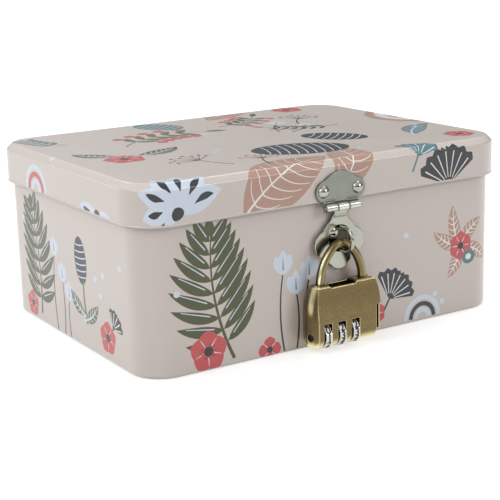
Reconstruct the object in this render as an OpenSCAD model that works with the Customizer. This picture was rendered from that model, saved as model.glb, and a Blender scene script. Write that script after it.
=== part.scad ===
// Lockable storage box: a printed tinplate box with a slip-over hinged lid,
// a riveted hasp and staple, and a three-dial combination padlock.
// Millimetres. +X runs right along the front, the front faces -Y and +Z is up.
// The origin is the centre of the box's footprint.

/* [Tin] */
// Width of the lid over its skirt
lid_w = 180; // [150:1:260]
// Depth of the lid over its skirt
lid_d = 135.5; // [110:0.5:200]
// Overall height of the closed box
box_h = 76; // [74:0.5:110]
// Height of the lid's skirt
skirt_h = 16.5; // [15.5:0.5:17.5]
// Thickness of the tinplate
sheet_t = 0.4; // [0.3:0.05:0.5]
// Corner radius of the lid, seen from above
lid_corner_r = 16.4; // [12:0.2:24]
// Radius of the rounded edge between the lid's top and skirt
lid_edge_r = 4.2; // [3:0.1:4.4]
// Radius of the hem bead rolled along the skirt's lower edge
hem_r = 0.55; // [0.5:0.05:0.6]
// How far the hem bead stands proud of the skirt's face
hem_proud = 0.25; // [0.2:0.05:0.3]
// Gap between the tub's wall and the inside of the skirt
lid_gap = 1.9; // [1.8:0.05:2.2]
// Gap between the tub's rim and the underside of the lid
rim_gap = 0.4; // [0.3:0.05:0.6]
// Outer radius of the curl along the tub's rim
curl_r = 1.1; // [0.9:0.05:1.3]
// Outer radius of the bend along the tub's base
base_bend_r = 1.6; // [1.2:0.1:2]
// Width of the lip that carries the base panel
base_lip = 3; // [2:0.5:5]
// Gap between the lip's edge and the base panel's sunken centre
base_gap = 0.3; // [0.2:0.05:0.5]
// Width of the lock seam at the back of the tub
seam_w = 5; // [3:0.5:8]
// Thickness of the lock seam outside the wall
seam_t = 0.5; // [0.4:0.1:0.6]

/* [Hinge plates] */
// Thickness of the hinge and hasp plates
plate_t = 0.8; // [0.6:0.05:0.9]
// Radius of the hinge pins
pin_r = 0.8; // [0.6:0.05:0.8]
// Clearance around a pin in its knuckles
pin_gap = 0.05; // [0.03:0.01:0.08]
// Outer radius of the rolled knuckles
knuckle_r = 1.6; // [1.5:0.05:1.65]
// Drop from the skirt's lower edge to the hinge axis
axis_drop = 2.2; // [2:0.1:2.6]
// Gap between neighbouring knuckles
knuckle_gap = 0.2; // [0.1:0.05:0.3]
// Distance from the middle to each rear hinge
hinge_x = 52; // [30:1:60]
// Width of a rear hinge
hinge_w = 16; // [14:0.5:22]
// Length of a rear hinge's middle knuckle
hinge_mid_w = 6; // [5:0.5:8]
// Height of a rear hinge's plate on the lid above the knuckles
hinge_lid_h = 10.5; // [9:0.5:11]
// Height of a rear hinge's plate on the tub
hinge_tub_h = 12; // [10:0.5:16]
// Distance between the two rivets of a rear hinge plate
hinge_rivet_pitch = 9.6; // [8:0.2:10]
// Radius of the hinge rivets' shanks
hinge_rivet_r = 1; // [0.8:0.1:1.2]
// Diameter of the hinge rivets' heads
hinge_rivet_head = 4; // [3.4:0.2:4.6]

/* [Hasp] */
// Half width of the hasp plate over its ears
hasp_half_w = 12; // [11:0.1:13]
// Radius of the hasp plate's ears
hasp_ear_r = 4.2; // [3.8:0.1:4.4]
// Radius of the hump on top of the hasp plate
hasp_hump_r = 11.2; // [10.8:0.1:11.5]
// Height of the hump's centre above the skirt's lower edge
hasp_hump_z = 0.8; // [0.5:0.1:1]
// Height of the ears and rivets above the skirt's lower edge
hasp_ear_z = 4.4; // [4.2:0.1:4.6]
// Length of each outer knuckle of the hasp
hasp_knuckle_w = 5.6; // [4.5:0.1:6]
// Length of the hasp's middle knuckle
hasp_mid_w = 5.2; // [4.4:0.1:6]
// Radius of the hasp rivets' shanks
hasp_rivet_r = 1.25; // [1:0.05:1.5]
// Diameter of the hasp rivets' domed heads
hasp_rivet_head = 5.1; // [4.4:0.1:5.6]
// Height of the hasp rivets' domed heads
hasp_rivet_dome = 1.8; // [1.2:0.1:2]
// Gap between the tub's wall and the back of the hanging leaf
leaf_gap = 1.45; // [1.3:0.05:1.6]
// Width of the leaf's neck
neck_w = 6; // [5:0.1:7]
// Half width of the leaf over its side lobes
leaf_half_w = 12.2; // [11.4:0.1:13]
// Radius of the leaf's side lobes
lobe_r = 5.6; // [5.2:0.1:6]
// Radius of the leaf's shoulders round the slot
shoulder_r = 8.6; // [8.2:0.1:8.9]
// Radius of the leaf's lower lobe
tongue_r = 5.2; // [4.9:0.1:5.8]
// Drop from the hasp's hinge axis to the leaf's lowest point
leaf_drop = 26.1; // [25.4:0.1:26.8]
// Clearance round the staple in the leaf's slot
slot_gap = 0.6; // [0.5:0.05:0.7]

/* [Staple] */
// Radius of the staple's wire
wire_r = 0.8; // [0.6:0.05:0.9]
// Drop from the hasp's hinge axis to the staple's lower leg
staple_drop = 17.7; // [17.6:0.1:18.1]
// Distance between the centrelines of the staple's legs
staple_h = 8.8; // [8.8:0.1:9.4]
// Width of the staple's two plates
staple_plate_w = 7; // [6:0.5:9]
// Thickness of the staple's two plates
staple_plate_t = 0.6; // [0.4:0.1:0.8]
// Length of the staple's clinched ends
clinch_l = 4; // [3:0.5:6]

/* [Padlock case] */
// Place of the padlock along the front, from the middle of the box
lock_x = -2.2; // [-2.3:0.1:-1]
// Thickness of the padlock's case near its base
case_t = 11; // [10.8:0.1:11.4]
// Thickness of the padlock's case at its top
case_top_t = 6.4; // [6.2:0.1:7.4]
// Gap between the tub's wall and the back of the case
case_gap = 0.4; // [0.3:0.1:0.6]
// Drop from the staple's lower leg to the case's lowest point
lock_drop = 37.7; // [37.4:0.1:37.9]
// Height of the case
case_h = 26.2; // [26:0.1:26.8]
// Half width of the case near its base
case_half_w = 17.3; // [17.1:0.1:17.9]
// Distance from the middle of the shackle to the middle of the case
case_mid = 0.8; // [0.6:0.1:1]
// Half width of the case at its top
case_top_half_w = 13.6; // [13.4:0.1:14.2]
// Corner radius of the case's base, seen from the front
case_base_r = 5; // [4:0.2:6]
// Corner radius of the case's top, seen from the front
case_top_r = 3.2; // [2.6:0.2:4]
// Radius of the case's upright edges, seen from above
case_side_r = 3; // [2.4:0.1:4]
// Radius of the case's lower long edges
case_low_r = 4; // [3:0.2:4.4]
// Radius of the case's upper long edges
case_high_r = 1.3; // [1:0.1:1.8]
// Wall thickness of the case
case_wall = 1.2; // [1:0.1:1.3]
// Width of the notch in the case's top
notch_w = 15; // [13:0.5:15]
// Depth of the notch in the case's top
notch_depth = 2; // [1.6:0.1:2.8]
// Place of the notch from the middle of the case
notch_x = -0.6; // [-1:0.1:0]

/* [Shackle] */
// Radius of the shackle's bar
bar_r = 1.7; // [1.5:0.05:1.7]
// Half the distance between the shackle's legs
leg_half = 10.4; // [10.2:0.1:10.5]
// Rise from the case's lowest point to where the legs start to lean inwards
leg_top_rise = 25.1; // [24.9:0.1:25.3]
// Rise of the arch above that height
arch_h = 16; // [15.9:0.1:16.1]
// Radius of the arch's crown
crown_r = 6; // [5.8:0.1:6.2]
// Rise from the case's lowest point to the shackle's pivot
pivot_rise = 21.6; // [21.5:0.1:21.9]
// Radius of the pivot pin
pivot_r = 0.9; // [0.8:0.05:1]
// Radius of the shackle's eye round the pivot pin
eye_r = 2.3; // [2:0.1:2.4]
// Rise from the case's lowest point to the free leg's end
leg_end_rise = 16.3; // [16.1:0.1:17.1]
// Clearance round the moving shackle
bar_gap = 0.3; // [0.2:0.05:0.35]

/* [Dials and release] */
// Radius of a dial over its corners
dial_r = 5.2; // [4.9:0.1:5.2]
// Width of a dial
dial_w = 3; // [2.6:0.1:3.1]
// Distance between neighbouring dials
dial_pitch = 6.8; // [6.4:0.1:6.9]
// Place of the middle dial from the middle of the case
dial_x = -3.5; // [-3.7:0.1:-3]
// Rise from the case's lowest point to the dials' axis
dial_rise = 4.9; // [4.8:0.1:5.1]
// Distance from the case's middle plane forward to the dials' axis
dial_forward = 1.35; // [1.3:0.05:1.5]
// Gap on each side of a dial in its window
window_gap = 0.25; // [0.2:0.05:0.4]
// Rise from the case's lowest point to the windows' upper edge
window_rise = 10.5; // [10.4:0.1:11.1]
// Radius of the dials' spindle
spindle_r = 1.2; // [1:0.05:1.25]
// Radius of the code setting pin
reset_r = 1.5; // [1.3:0.05:1.6]
// Travel of the code setting pin
reset_travel = 0.8; // [0.5:0.1:0.8]
// Height of the release button
button_h = 10.5; // [9:0.1:11]
// Rise from the case's lowest point to the release button's lower end
button_rise = 3.7; // [3.5:0.1:4.1]
// Distance from the middle of the case to the button's recess
recess_x = 13.3; // [13.1:0.1:13.5]
// Travel of the release button
button_travel = 1.2; // [0.8:0.1:1.2]
// Width of the latch plate behind the button
latch_w = 2; // [1.6:0.1:2.2]
// Height of the latch plate's section
latch_h = 2.2; // [1.8:0.1:2.4]
// Rise from the case's lowest point to the latch plate's lower face
latch_rise = 11.5; // [11.4:0.1:11.7]

/* [Hidden] */
$fn = 48;
eps = 0.01;
far = 40;

// Tin: derived sizes
overhang = sheet_t + lid_gap;
tub_w = lid_w - 2 * overhang;
tub_d = lid_d - 2 * overhang;
tub_corner_r = lid_corner_r - overhang;
tub_top_z = box_h - sheet_t - rim_gap;
skirt_z = box_h - skirt_h;
hem_inset = hem_r - hem_proud;
wall_y = tub_d / 2;
skirt_y = lid_d / 2;

// Hinges: the plates stand on the hem bead, and the knuckles are tangent to their backs
plate_y = skirt_y + hem_proud;
axis_y = plate_y + knuckle_r;
axis_z = skirt_z - axis_drop;
plate_z = skirt_z - 0.2;
knuckle_bore = pin_r + pin_gap;

// Hasp leaf
leaf_y = wall_y + leaf_gap;
hasp_ear_x = hasp_half_w - hasp_ear_r;
hasp_half_bottom = hasp_mid_w / 2 + knuckle_gap + hasp_knuckle_w;
leaf_z0 = axis_z - leaf_drop;
staple_z = axis_z - staple_drop;
staple_mid_z = staple_z + staple_h / 2;
slot_r = staple_h / 2 + wire_r + slot_gap;
slit_w = 2 * (wire_r + slot_gap);
tongue_z = leaf_z0 + tongue_r;
lobe_x = leaf_half_w - lobe_r;
lobe_z = staple_mid_z - 1.8;
shoulder_z = staple_mid_z + 0.2;

// Padlock: the case hangs just clear of the wall
lock_y = -(wall_y + case_gap + case_t / 2);
case_z0 = staple_z - lock_drop;
leg_top_z = case_z0 + leg_top_rise;
pivot_z = case_z0 + pivot_rise;
leg_end_z = case_z0 + leg_end_rise;
dial_z = case_z0 + dial_rise;
window_top_z = case_z0 + window_rise;
button_z = case_z0 + button_rise;
latch_z = case_z0 + latch_rise;
case_top_z = case_z0 + case_h;
pivot_x = leg_half;
crown_z = leg_top_z + arch_h - crown_r;
side_r = (leg_half * leg_half + pow(arch_h - crown_r, 2) - crown_r * crown_r) / (2 * (leg_half - crown_r));
side_a = acos((side_r - leg_half) / (side_r - crown_r));
slot_half = bar_r + bar_gap;
staple_bend_y = lock_y - 0.65;
dial_cut_r = dial_r + 0.2;
dial_xs = [dial_x - dial_pitch, dial_x, dial_x + dial_pitch];
leg_reach = norm([leg_half + bar_r + pivot_x, pivot_z - leg_end_z]) + bar_gap;
leg_near = leg_half - bar_r + pivot_x - bar_gap;

// Padlock: places inside the case, from its middle
web_w = 1;
web_rise = 3.4;
guide_before = 1.6;
guide_after = 1.8;
web_left_x = dial_xs[0] - dial_w / 2 - window_gap - 0.3 - web_w;
web_right_x = dial_xs[2] + dial_w / 2 + window_gap + 0.4;
collar_x = web_right_x + 4.6;
collar_w = 0.8;
collar_r = spindle_r + 1;
reset_x0 = case_mid - case_half_w + 0.6;
reset_x1 = reset_x0 + 1.6;
spindle_x0 = reset_x1 + reset_travel + 0.1;
button_x = recess_x + button_travel + 0.1;
button_gap = 0.3;
button_inset = 0.25;
latch_x0 = -7;
stop_x = latch_x0 - button_travel - 3.6;
stop_w = 0.8;
release_spring_l = latch_x0 - button_travel - 0.2 - stop_x;
finger_z = dial_z + dial_r + 0.2;
finger_t = 0.4;
finger_w = 2.4;
comb_z0 = finger_z + 3.4;
comb_z1 = finger_z + 6;
comb_x0 = dial_xs[0] - finger_w / 2;
comb_x1 = dial_xs[2] + finger_w / 2;
comb_back = half_at(comb_z1) - case_wall;
rivet_r = 0.7;
rivet_drop = 6.5;
rivet_rise = 4.4;
rivet_right_x = 4.6;
rivet_low_x = 8.6;
rivet_spots = [
    [dial_x, case_top_z - rivet_drop], [rivet_right_x, case_top_z - rivet_drop],
    [rivet_low_x, dial_z + rivet_rise]
];
boss_r = 1.4;

function arc(cx, cz, r, a0, a1, n = 6) =
    [for (i = [0:n]) [cx + r * cos(a0 + (a1 - a0) * i / n), cz + r * sin(a0 + (a1 - a0) * i / n)]];

// Half of the padlock case's thickness at height z above its lower rounding
function half_at(z) = case_t / 2
    - (case_t - case_top_t) / 2 * (z - case_z0 - case_low_r) / (case_h - case_low_r - case_high_r);

// Extrudes a flat (x, z) shape between two places along y
module along_y(y0, y1) {
    translate([0, max(y0, y1), 0]) rotate([90, 0, 0])
        linear_extrude(height = abs(y1 - y0)) children();
}

// Extrudes a flat (y, z) shape between two places along x
module along_x(x0, x1) {
    translate([min(x0, x1), 0, 0]) rotate([90, 0, 90])
        linear_extrude(height = abs(x1 - x0)) children();
}

module rod_x(x0, x1, y, z, r) {
    translate([min(x0, x1), y, z]) rotate([0, 90, 0]) cylinder(r = r, h = abs(x1 - x0));
}

module rod_y(y0, y1, x, z, r) {
    translate([x, max(y0, y1), z]) rotate([90, 0, 0]) cylinder(r = r, h = abs(y1 - y0));
}

// Box between two opposite corners
module span(a, b) {
    translate(a) cube(b - a);
}

module mirror_x() {
    children();
    mirror([1, 0, 0]) children();
}

// Runs a wall profile round a rectangle with round corners.
// The profile's x is the distance inwards from the outer face.
module swept(w, d, r) {
    for (i = [0:3]) {
        across = i % 2 == 0 ? w : d;
        along = i % 2 == 0 ? d : w;
        sx = i == 0 || i == 3 ? 1 : -1;
        sy = i < 2 ? 1 : -1;
        translate([sx * (w / 2 - r), sy * (d / 2 - r), 0]) rotate(90 * i)
            rotate_extrude(angle = 90) translate([r, 0]) mirror([1, 0]) children();
        rotate(90 * i) translate([across / 2 - r, 0, 0]) rotate([90, 0, 0])
            linear_extrude(height = along - 2 * r, center = true)
                translate([r, 0]) mirror([1, 0]) children();
    }
}

// Quarter of a sheet bend, with its centre at the origin and its quadrant set by sx and sz
module bend(r, t, sx, sz) {
    intersection() {
        difference() {
            circle(r = r);
            circle(r = r - t);
        }
        translate([sx < 0 ? -r : 0, sz < 0 ? -r : 0]) square(r);
    }
}

// Spherical cap of diameter d and height h, rising along z
module dome(d, h) {
    ball_r = (d * d / 4 + h * h) / (2 * h);
    intersection() {
        translate([0, 0, h - ball_r]) sphere(r = ball_r);
        cylinder(r = d / 2 + 1, h = h + 1);
    }
}

// Rivet along y: domed head outside, shank through the sheets and a flat tail inside.
// side is 1 where the head faces +y and -1 where it faces -y.
module rivet(x, z, side, head_y, tail_y, shank_r, head_d, head_h, tail_h) {
    rod_y(side * (tail_y - tail_h), side * head_y, x, z, shank_r);
    rod_y(side * (tail_y - tail_h), side * tail_y, x, z, shank_r + 0.7);
    translate([x, side * head_y, z]) rotate([-90 * side, 0, 0]) dome(head_d, head_h);
}

// Helical spring along z, from 0 to length
module coil(length, r, wire, turns) {
    sides = 6;
    steps = 10;
    rings = turns * steps;
    points = [for (i = [0:rings]) for (j = [0:sides - 1])
        let (a = 360 * i / steps, b = 360 * j / sides, rr = r + wire * cos(b))
        [rr * cos(a), rr * sin(a), wire + (length - 2 * wire) * i / rings + wire * sin(b)]];
    skin = [for (i = [0:rings - 1]) for (j = [0:sides - 1])
        let (k = (j + 1) % sides, p = i * sides, q = p + sides)
        each [[p + j, p + k, q + k], [p + j, q + k, q + j]]];
    ends = [[for (j = [0:sides - 1]) sides - 1 - j], [for (j = [0:sides - 1]) rings * sides + j]];
    polyhedron(points, concat(skin, ends));
}

// Tub: wall with an inward curl along the rim and a lip that carries the base

module tub_profile() {
    translate([0, base_bend_r]) square([sheet_t, tub_top_z - curl_r - base_bend_r]);
    translate([curl_r, tub_top_z - curl_r]) difference() {
        circle(r = curl_r);
        circle(r = curl_r - sheet_t);
        translate([-curl_r, -curl_r]) square(curl_r);
    }
    translate([base_bend_r, base_bend_r]) bend(base_bend_r, sheet_t, -1, -1);
    translate([base_bend_r, 0]) square([base_lip, sheet_t]);
}

module tub_wall() color([0.83, 0.77, 0.73]) difference() {
    union() {
        swept(tub_w, tub_d, tub_corner_r) tub_profile();
        span([-seam_w / 2, wall_y - eps, base_bend_r + 3], [seam_w / 2, wall_y + seam_t, tub_top_z - 5]);
    }
    for (z = [staple_z, staple_z + staple_h])
        rod_y(-wall_y - 1, -wall_y + 2, 0, z, wire_r);
    hinge_spots() hinge_rivet_holes(tub_rivet_z, wall_y);
}

// Rectangle with round corners, drawn in from the tub's outer face
module tub_plan(inset) {
    r = tub_corner_r - inset;
    square([tub_w - 2 * inset, tub_d - 2 * tub_corner_r], center = true);
    square([tub_w - 2 * tub_corner_r, tub_d - 2 * inset], center = true);
    for (sx = [-1, 1], sy = [-1, 1])
        translate([sx * (tub_w / 2 - tub_corner_r), sy * (tub_d / 2 - tub_corner_r)]) circle(r = r);
}

// Ring of the base panel between two insets
module base_ring(outer, inner, z, h) {
    translate([0, 0, z]) linear_extrude(height = h) difference() {
        tub_plan(outer);
        tub_plan(inner);
    }
}

// Flange on the lip, with the panel's centre sunk flush with the lip's underside
module base_panel() color([0.80, 0.80, 0.81]) {
    step = base_bend_r + base_lip + base_gap + sheet_t;
    base_ring(base_bend_r + base_gap, step, sheet_t, sheet_t);
    base_ring(step - sheet_t, step, 0, sheet_t);
    linear_extrude(height = sheet_t) tub_plan(step);
}

// Lid: top, rounded edge and skirt in one sheet, with a hem bead along the skirt

module lid_profile() {
    translate([0, skirt_z + hem_r]) square([sheet_t, skirt_h - hem_r - lid_edge_r]);
    translate([hem_inset, skirt_z + hem_r]) circle(r = hem_r);
    translate([lid_edge_r, box_h - lid_edge_r]) bend(lid_edge_r, sheet_t, -1, 1);
    translate([lid_edge_r, box_h - sheet_t]) square([lid_corner_r - lid_edge_r, sheet_t]);
}

module lid_shell() color([0.83, 0.77, 0.73]) difference() {
    union() {
        swept(lid_w, lid_d, lid_corner_r) lid_profile();
        translate([0, 0, box_h - sheet_t / 2])
            cube([lid_w - 2 * lid_corner_r, lid_d - 2 * lid_corner_r, sheet_t], center = true);
    }
    hinge_spots() hinge_rivet_holes(lid_rivet_z, skirt_y);
    mirror_x() rod_y(-skirt_y - 1, -skirt_y + 1, hasp_ear_x + 0.5, skirt_z + hasp_ear_z, hasp_rivet_r);
}

// Rear hinges

lid_rivet_z = skirt_z + 6;
tub_rivet_z = axis_z - 11.5;
joggle_z0 = axis_z - 2.2;
joggle_z1 = axis_z - 4.6;
hinge_plate_top = plate_z + hinge_lid_h;
hinge_plate_low = tub_rivet_z + 5.5 - hinge_tub_h;

module hinge_spots() {
    for (side = [-1, 1])
        translate([side * hinge_x, 0, 0]) children();
}

module hinge_rivet_holes(z, y) {
    for (x = [-1, 1])
        rod_y(y - 2, y + 3, x * hinge_rivet_pitch / 2, z, hinge_rivet_r);
}

// Rectangle from z0 to z1 with round corners at the z1 end
module tab(w, z0, z1, r) {
    up = sign(z1 - z0);
    translate([-w / 2, min(z0, z1 - up * r)]) square([w, abs(z1 - z0) - r]);
    translate([-w / 2 + r, min(z0, z1)]) square([w - 2 * r, abs(z1 - z0)]);
    for (x = [-1, 1])
        translate([x * (w / 2 - r), z1 - up * r]) circle(r = r);
}

module knuckle(x0, x1, y) {
    rod_x(x0, x1, y, axis_z, knuckle_r);
}

module hinge_lid_leaf() color([0.74, 0.74, 0.70]) difference() {
    union() {
        along_y(plate_y, plate_y + plate_t) tab(hinge_w, plate_z, hinge_plate_top, 2.5);
        mirror_x() {
            span([hinge_mid_w / 2 + knuckle_gap, plate_y, axis_z],
                [hinge_w / 2, plate_y + plate_t, plate_z + eps]);
            knuckle(hinge_mid_w / 2 + knuckle_gap, hinge_w / 2, axis_y);
        }
    }
    rod_x(-hinge_w, hinge_w, axis_y, axis_z, knuckle_bore);
    hinge_rivet_holes(lid_rivet_z, plate_y);
}

// Strap that leaves the knuckle's back and steps inwards to the wall's side
module strap(back_y, z_end) {
    polygon([
        [plate_y, axis_z], [plate_y + plate_t, axis_z], [plate_y + plate_t, joggle_z0],
        [back_y + plate_t, joggle_z1], [back_y + plate_t, z_end], [back_y, z_end],
        [back_y, joggle_z1 + 0.3], [plate_y, joggle_z0 + 0.3]
    ]);
}

module hinge_tub_leaf() color([0.74, 0.74, 0.70]) difference() {
    union() {
        along_y(wall_y, wall_y + plate_t) tab(hinge_w, tub_rivet_z + 4, hinge_plate_low, 2.5);
        along_x(-hinge_mid_w / 2, hinge_mid_w / 2) strap(wall_y, tub_rivet_z);
        knuckle(-hinge_mid_w / 2, hinge_mid_w / 2, axis_y);
    }
    rod_x(-hinge_w, hinge_w, axis_y, axis_z, knuckle_bore);
    hinge_rivet_holes(tub_rivet_z, wall_y);
}

module hinge_pin() color([0.70, 0.70, 0.67]) {
    rod_x(-hinge_w / 2 - 0.2, hinge_w / 2 + 0.2, axis_y, axis_z, pin_r);
    mirror_x() translate([hinge_w / 2 + 0.2, axis_y, axis_z]) rotate([0, 90, 0])
        dome(2 * knuckle_r - 0.4, 0.6);
}

module hinge_lid_rivets() color([0.78, 0.78, 0.74]) hinge_spots() for (x = [-1, 1])
    rivet(x * hinge_rivet_pitch / 2, lid_rivet_z, 1, plate_y + plate_t, skirt_y - sheet_t,
        hinge_rivet_r, hinge_rivet_head, 1.1, 0.5);

module hinge_tub_rivets() color([0.78, 0.78, 0.74]) hinge_spots() for (x = [-1, 1])
    rivet(x * hinge_rivet_pitch / 2, tub_rivet_z, 1, wall_y + plate_t, wall_y - sheet_t,
        hinge_rivet_r, hinge_rivet_head, 1.1, 0.5);

// Hasp

module hasp_outline() {
    mirror_x() translate([hasp_ear_x, skirt_z + hasp_ear_z]) circle(r = hasp_ear_r);
    intersection() {
        translate([0, skirt_z + hasp_hump_z]) circle(r = hasp_hump_r);
        translate([-far, skirt_z + hasp_ear_z]) square([2 * far, far]);
    }
    translate([-hasp_half_bottom, plate_z]) square([2 * hasp_half_bottom, hasp_ear_z + 0.2]);
}

module hasp_plate() color([0.76, 0.77, 0.72]) difference() {
    union() {
        along_y(-plate_y, -plate_y - plate_t) hasp_outline();
        mirror_x() {
            span([hasp_mid_w / 2 + knuckle_gap, -plate_y - plate_t, axis_z],
                [hasp_half_bottom, -plate_y, plate_z + eps]);
            knuckle(hasp_mid_w / 2 + knuckle_gap, hasp_half_bottom, -axis_y);
        }
    }
    rod_x(-far, far, -axis_y, axis_z, knuckle_bore);
    mirror_x() rod_y(-skirt_y - 3, -skirt_y + 1, hasp_ear_x + 0.5, skirt_z + hasp_ear_z, hasp_rivet_r);
}

module hasp_rivets() color([0.80, 0.81, 0.77]) mirror_x()
    rivet(hasp_ear_x + 0.5, skirt_z + hasp_ear_z, -1, plate_y + plate_t, skirt_y - sheet_t,
        hasp_rivet_r, hasp_rivet_head, hasp_rivet_dome, 0.5);

module hasp_pin() color([0.70, 0.70, 0.67])
    rod_x(-hasp_half_bottom - 0.1, hasp_half_bottom + 0.1, -axis_y, axis_z, pin_r);

module leaf_outline() {
    translate([-neck_w / 2, staple_mid_z]) square([neck_w, joggle_z1 - staple_mid_z - 0.3]);
    translate([0, shoulder_z]) circle(r = shoulder_r);
    mirror_x() translate([lobe_x, lobe_z]) circle(r = lobe_r);
    translate([0, tongue_z]) circle(r = tongue_r);
    polygon([
        [-lobe_x - 3.2, lobe_z - 4.2], [lobe_x + 3.2, lobe_z - 4.2],
        [tongue_r - 0.5, tongue_z - 2], [0.5 - tongue_r, tongue_z - 2]
    ]);
}

module hasp_leaf() color([0.76, 0.77, 0.72]) difference() {
    union() {
        along_y(-leaf_y, -leaf_y - plate_t) leaf_outline();
        mirror([0, 1, 0]) {
            along_x(-neck_w / 2, neck_w / 2) intersection() {
                strap(leaf_y, shoulder_z + shoulder_r - 0.8);
                translate([0, axis_z - knuckle_r - 0.1 - far]) square([2 * far + wall_y, far]);
            }
            along_x(-hasp_mid_w / 2, hasp_mid_w / 2) strap(leaf_y, shoulder_z + shoulder_r - 0.8);
            knuckle(-hasp_mid_w / 2, hasp_mid_w / 2, axis_y);
        }
    }
    rod_x(-far, far, -axis_y, axis_z, knuckle_bore);
    rod_y(-leaf_y + 1, -leaf_y - 2, 0, staple_mid_z, slot_r);
    span([-slit_w / 2, -leaf_y - 2, leaf_z0 - 1], [slit_w / 2, -leaf_y + 1, staple_mid_z]);
}

// Staple: a wire loop whose legs pass through the wall and are clinched inside

module staple_plate_shape(y0, y1) {
    r = staple_plate_w / 2;
    difference() {
        along_y(y0, y1) {
            translate([-r, staple_z]) square([staple_plate_w, staple_h]);
            for (z = [staple_z, staple_z + staple_h])
                translate([0, z]) circle(r = r);
        }
        for (z = [staple_z, staple_z + staple_h])
            rod_y(y0 - 1, y0 + 2, 0, z, wire_r);
    }
}

module staple_plate() color([0.76, 0.77, 0.72])
    staple_plate_shape(-wall_y, -wall_y - staple_plate_t);

module staple_backing() color([0.70, 0.70, 0.67])
    staple_plate_shape(-wall_y + sheet_t + staple_plate_t, -wall_y + sheet_t);

module staple_loop() color([0.78, 0.79, 0.75]) {
    inner_y = -wall_y + sheet_t + staple_plate_t + wire_r;
    for (up = [-1, 1]) {
        z = staple_mid_z + up * staple_h / 2;
        rod_y(staple_bend_y, inner_y, 0, z, wire_r);
        translate([0, inner_y, z]) sphere(r = wire_r);
        translate([0, inner_y, up > 0 ? z : z - clinch_l]) cylinder(r = wire_r, h = clinch_l);
    }
    translate([0, staple_bend_y, staple_mid_z]) rotate([0, -90, 0]) rotate([0, 0, 180])
        rotate_extrude(angle = 180) translate([staple_h / 2, 0]) circle(r = wire_r);
}

// Padlock case

// Front outline of the case, drawn in by inset
module case_front(inset) {
    low = [case_half_w - case_base_r, case_z0 + case_base_r];
    top = [case_top_half_w - case_top_r, case_top_z - case_top_r];
    lean = atan(2 * (case_half_w - case_top_half_w) / (top[1] - low[1]));
    side = [for (i = [1:5]) let (t = i / 6)
        [case_half_w - inset - (case_half_w - case_top_half_w) * t * t,
            low[1] + (top[1] - low[1]) * t]];
    right = concat(arc(low[0], low[1], case_base_r - inset, -90, 0), side,
        arc(top[0], top[1], case_top_r - inset, lean, 90));
    left = [for (i = [len(right) - 1:-1:0]) [-right[i][0], right[i][1]]];
    translate([case_mid, 0]) polygon(concat(right, left));
}

// Upright section of the case through its thickness
module case_section(inset) {
    low = case_t / 2 - case_low_r;
    high_r = max(case_high_r - inset, 0.3);
    top_c = case_top_t / 2 - inset - high_r;
    front = concat(arc(low, case_z0 + case_low_r, case_low_r - inset, -90, 0),
        arc(top_c, case_top_z - inset - high_r, high_r, 0, 90, 4));
    back = [for (i = [len(front) - 1:-1:0]) [-front[i][0], front[i][1]]];
    polygon(concat(front, back));
}

// Plan of the case
module case_plan(inset) {
    cx = case_half_w - case_side_r;
    cy = case_t / 2 - case_side_r;
    r = case_side_r - inset;
    translate([case_mid, 0]) polygon(concat(arc(cx, cy, r, 0, 90), arc(-cx, cy, r, 90, 180),
        arc(-cx, -cy, r, 180, 270), arc(cx, -cy, r, 270, 360)));
}

// Whole outer form of the case at the origin's x and y
module case_form(inset) {
    intersection() {
        along_y(-case_t, case_t) case_front(inset);
        along_x(-2 * case_half_w, 2 * case_half_w) case_section(inset);
        translate([0, 0, case_z0 - 1]) linear_extrude(height = case_h + 2) case_plan(inset);
    }
}

// Space that the shackle sweeps through inside the case
module shackle_room() {
    intersection() {
        union() {
            rod_y(-slot_half, slot_half, pivot_x, pivot_z, eye_r + bar_gap);
            span([pivot_x - slot_half, -slot_half, pivot_z - slot_half], [far, slot_half, far + pivot_z]);
            difference() {
                rod_y(-slot_half, slot_half, pivot_x, pivot_z, leg_reach);
                rod_y(-case_t, case_t, pivot_x, pivot_z, leg_near);
                span([0, -case_t, -far], [far, case_t, 2 * far]);
                span([-far, -case_t, -far], [far, case_t, leg_end_z - bar_gap]);
            }
        }
        span([-far, -slot_half, 0], [far, slot_half, 2 * far]);
    }
}

module dial_room() {
    half = dial_w / 2 + window_gap;
    for (x = dial_xs) {
        rod_x(x - half, x + half, -dial_forward, dial_z, dial_cut_r);
        span([x - half, -case_t, -1], [x + half, -dial_forward, window_top_z]);
    }
}

module top_notch() {
    along_y(-case_t, case_t) polygon([
        [notch_x - notch_w / 2, case_top_z + eps], [notch_x + notch_w / 2, case_top_z + eps],
        [notch_x + notch_w / 2 - 1.3, case_top_z - notch_depth],
        [notch_x - notch_w / 2 + 1.3, case_top_z - notch_depth]
    ]);
}

// Button recess, grown by its lining's thickness where grow is set
module button_recess(grow) {
    span([recess_x - grow, -case_t, button_z - button_gap - grow],
        [far, case_t, button_z + button_h + button_gap + grow]);
}

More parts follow.
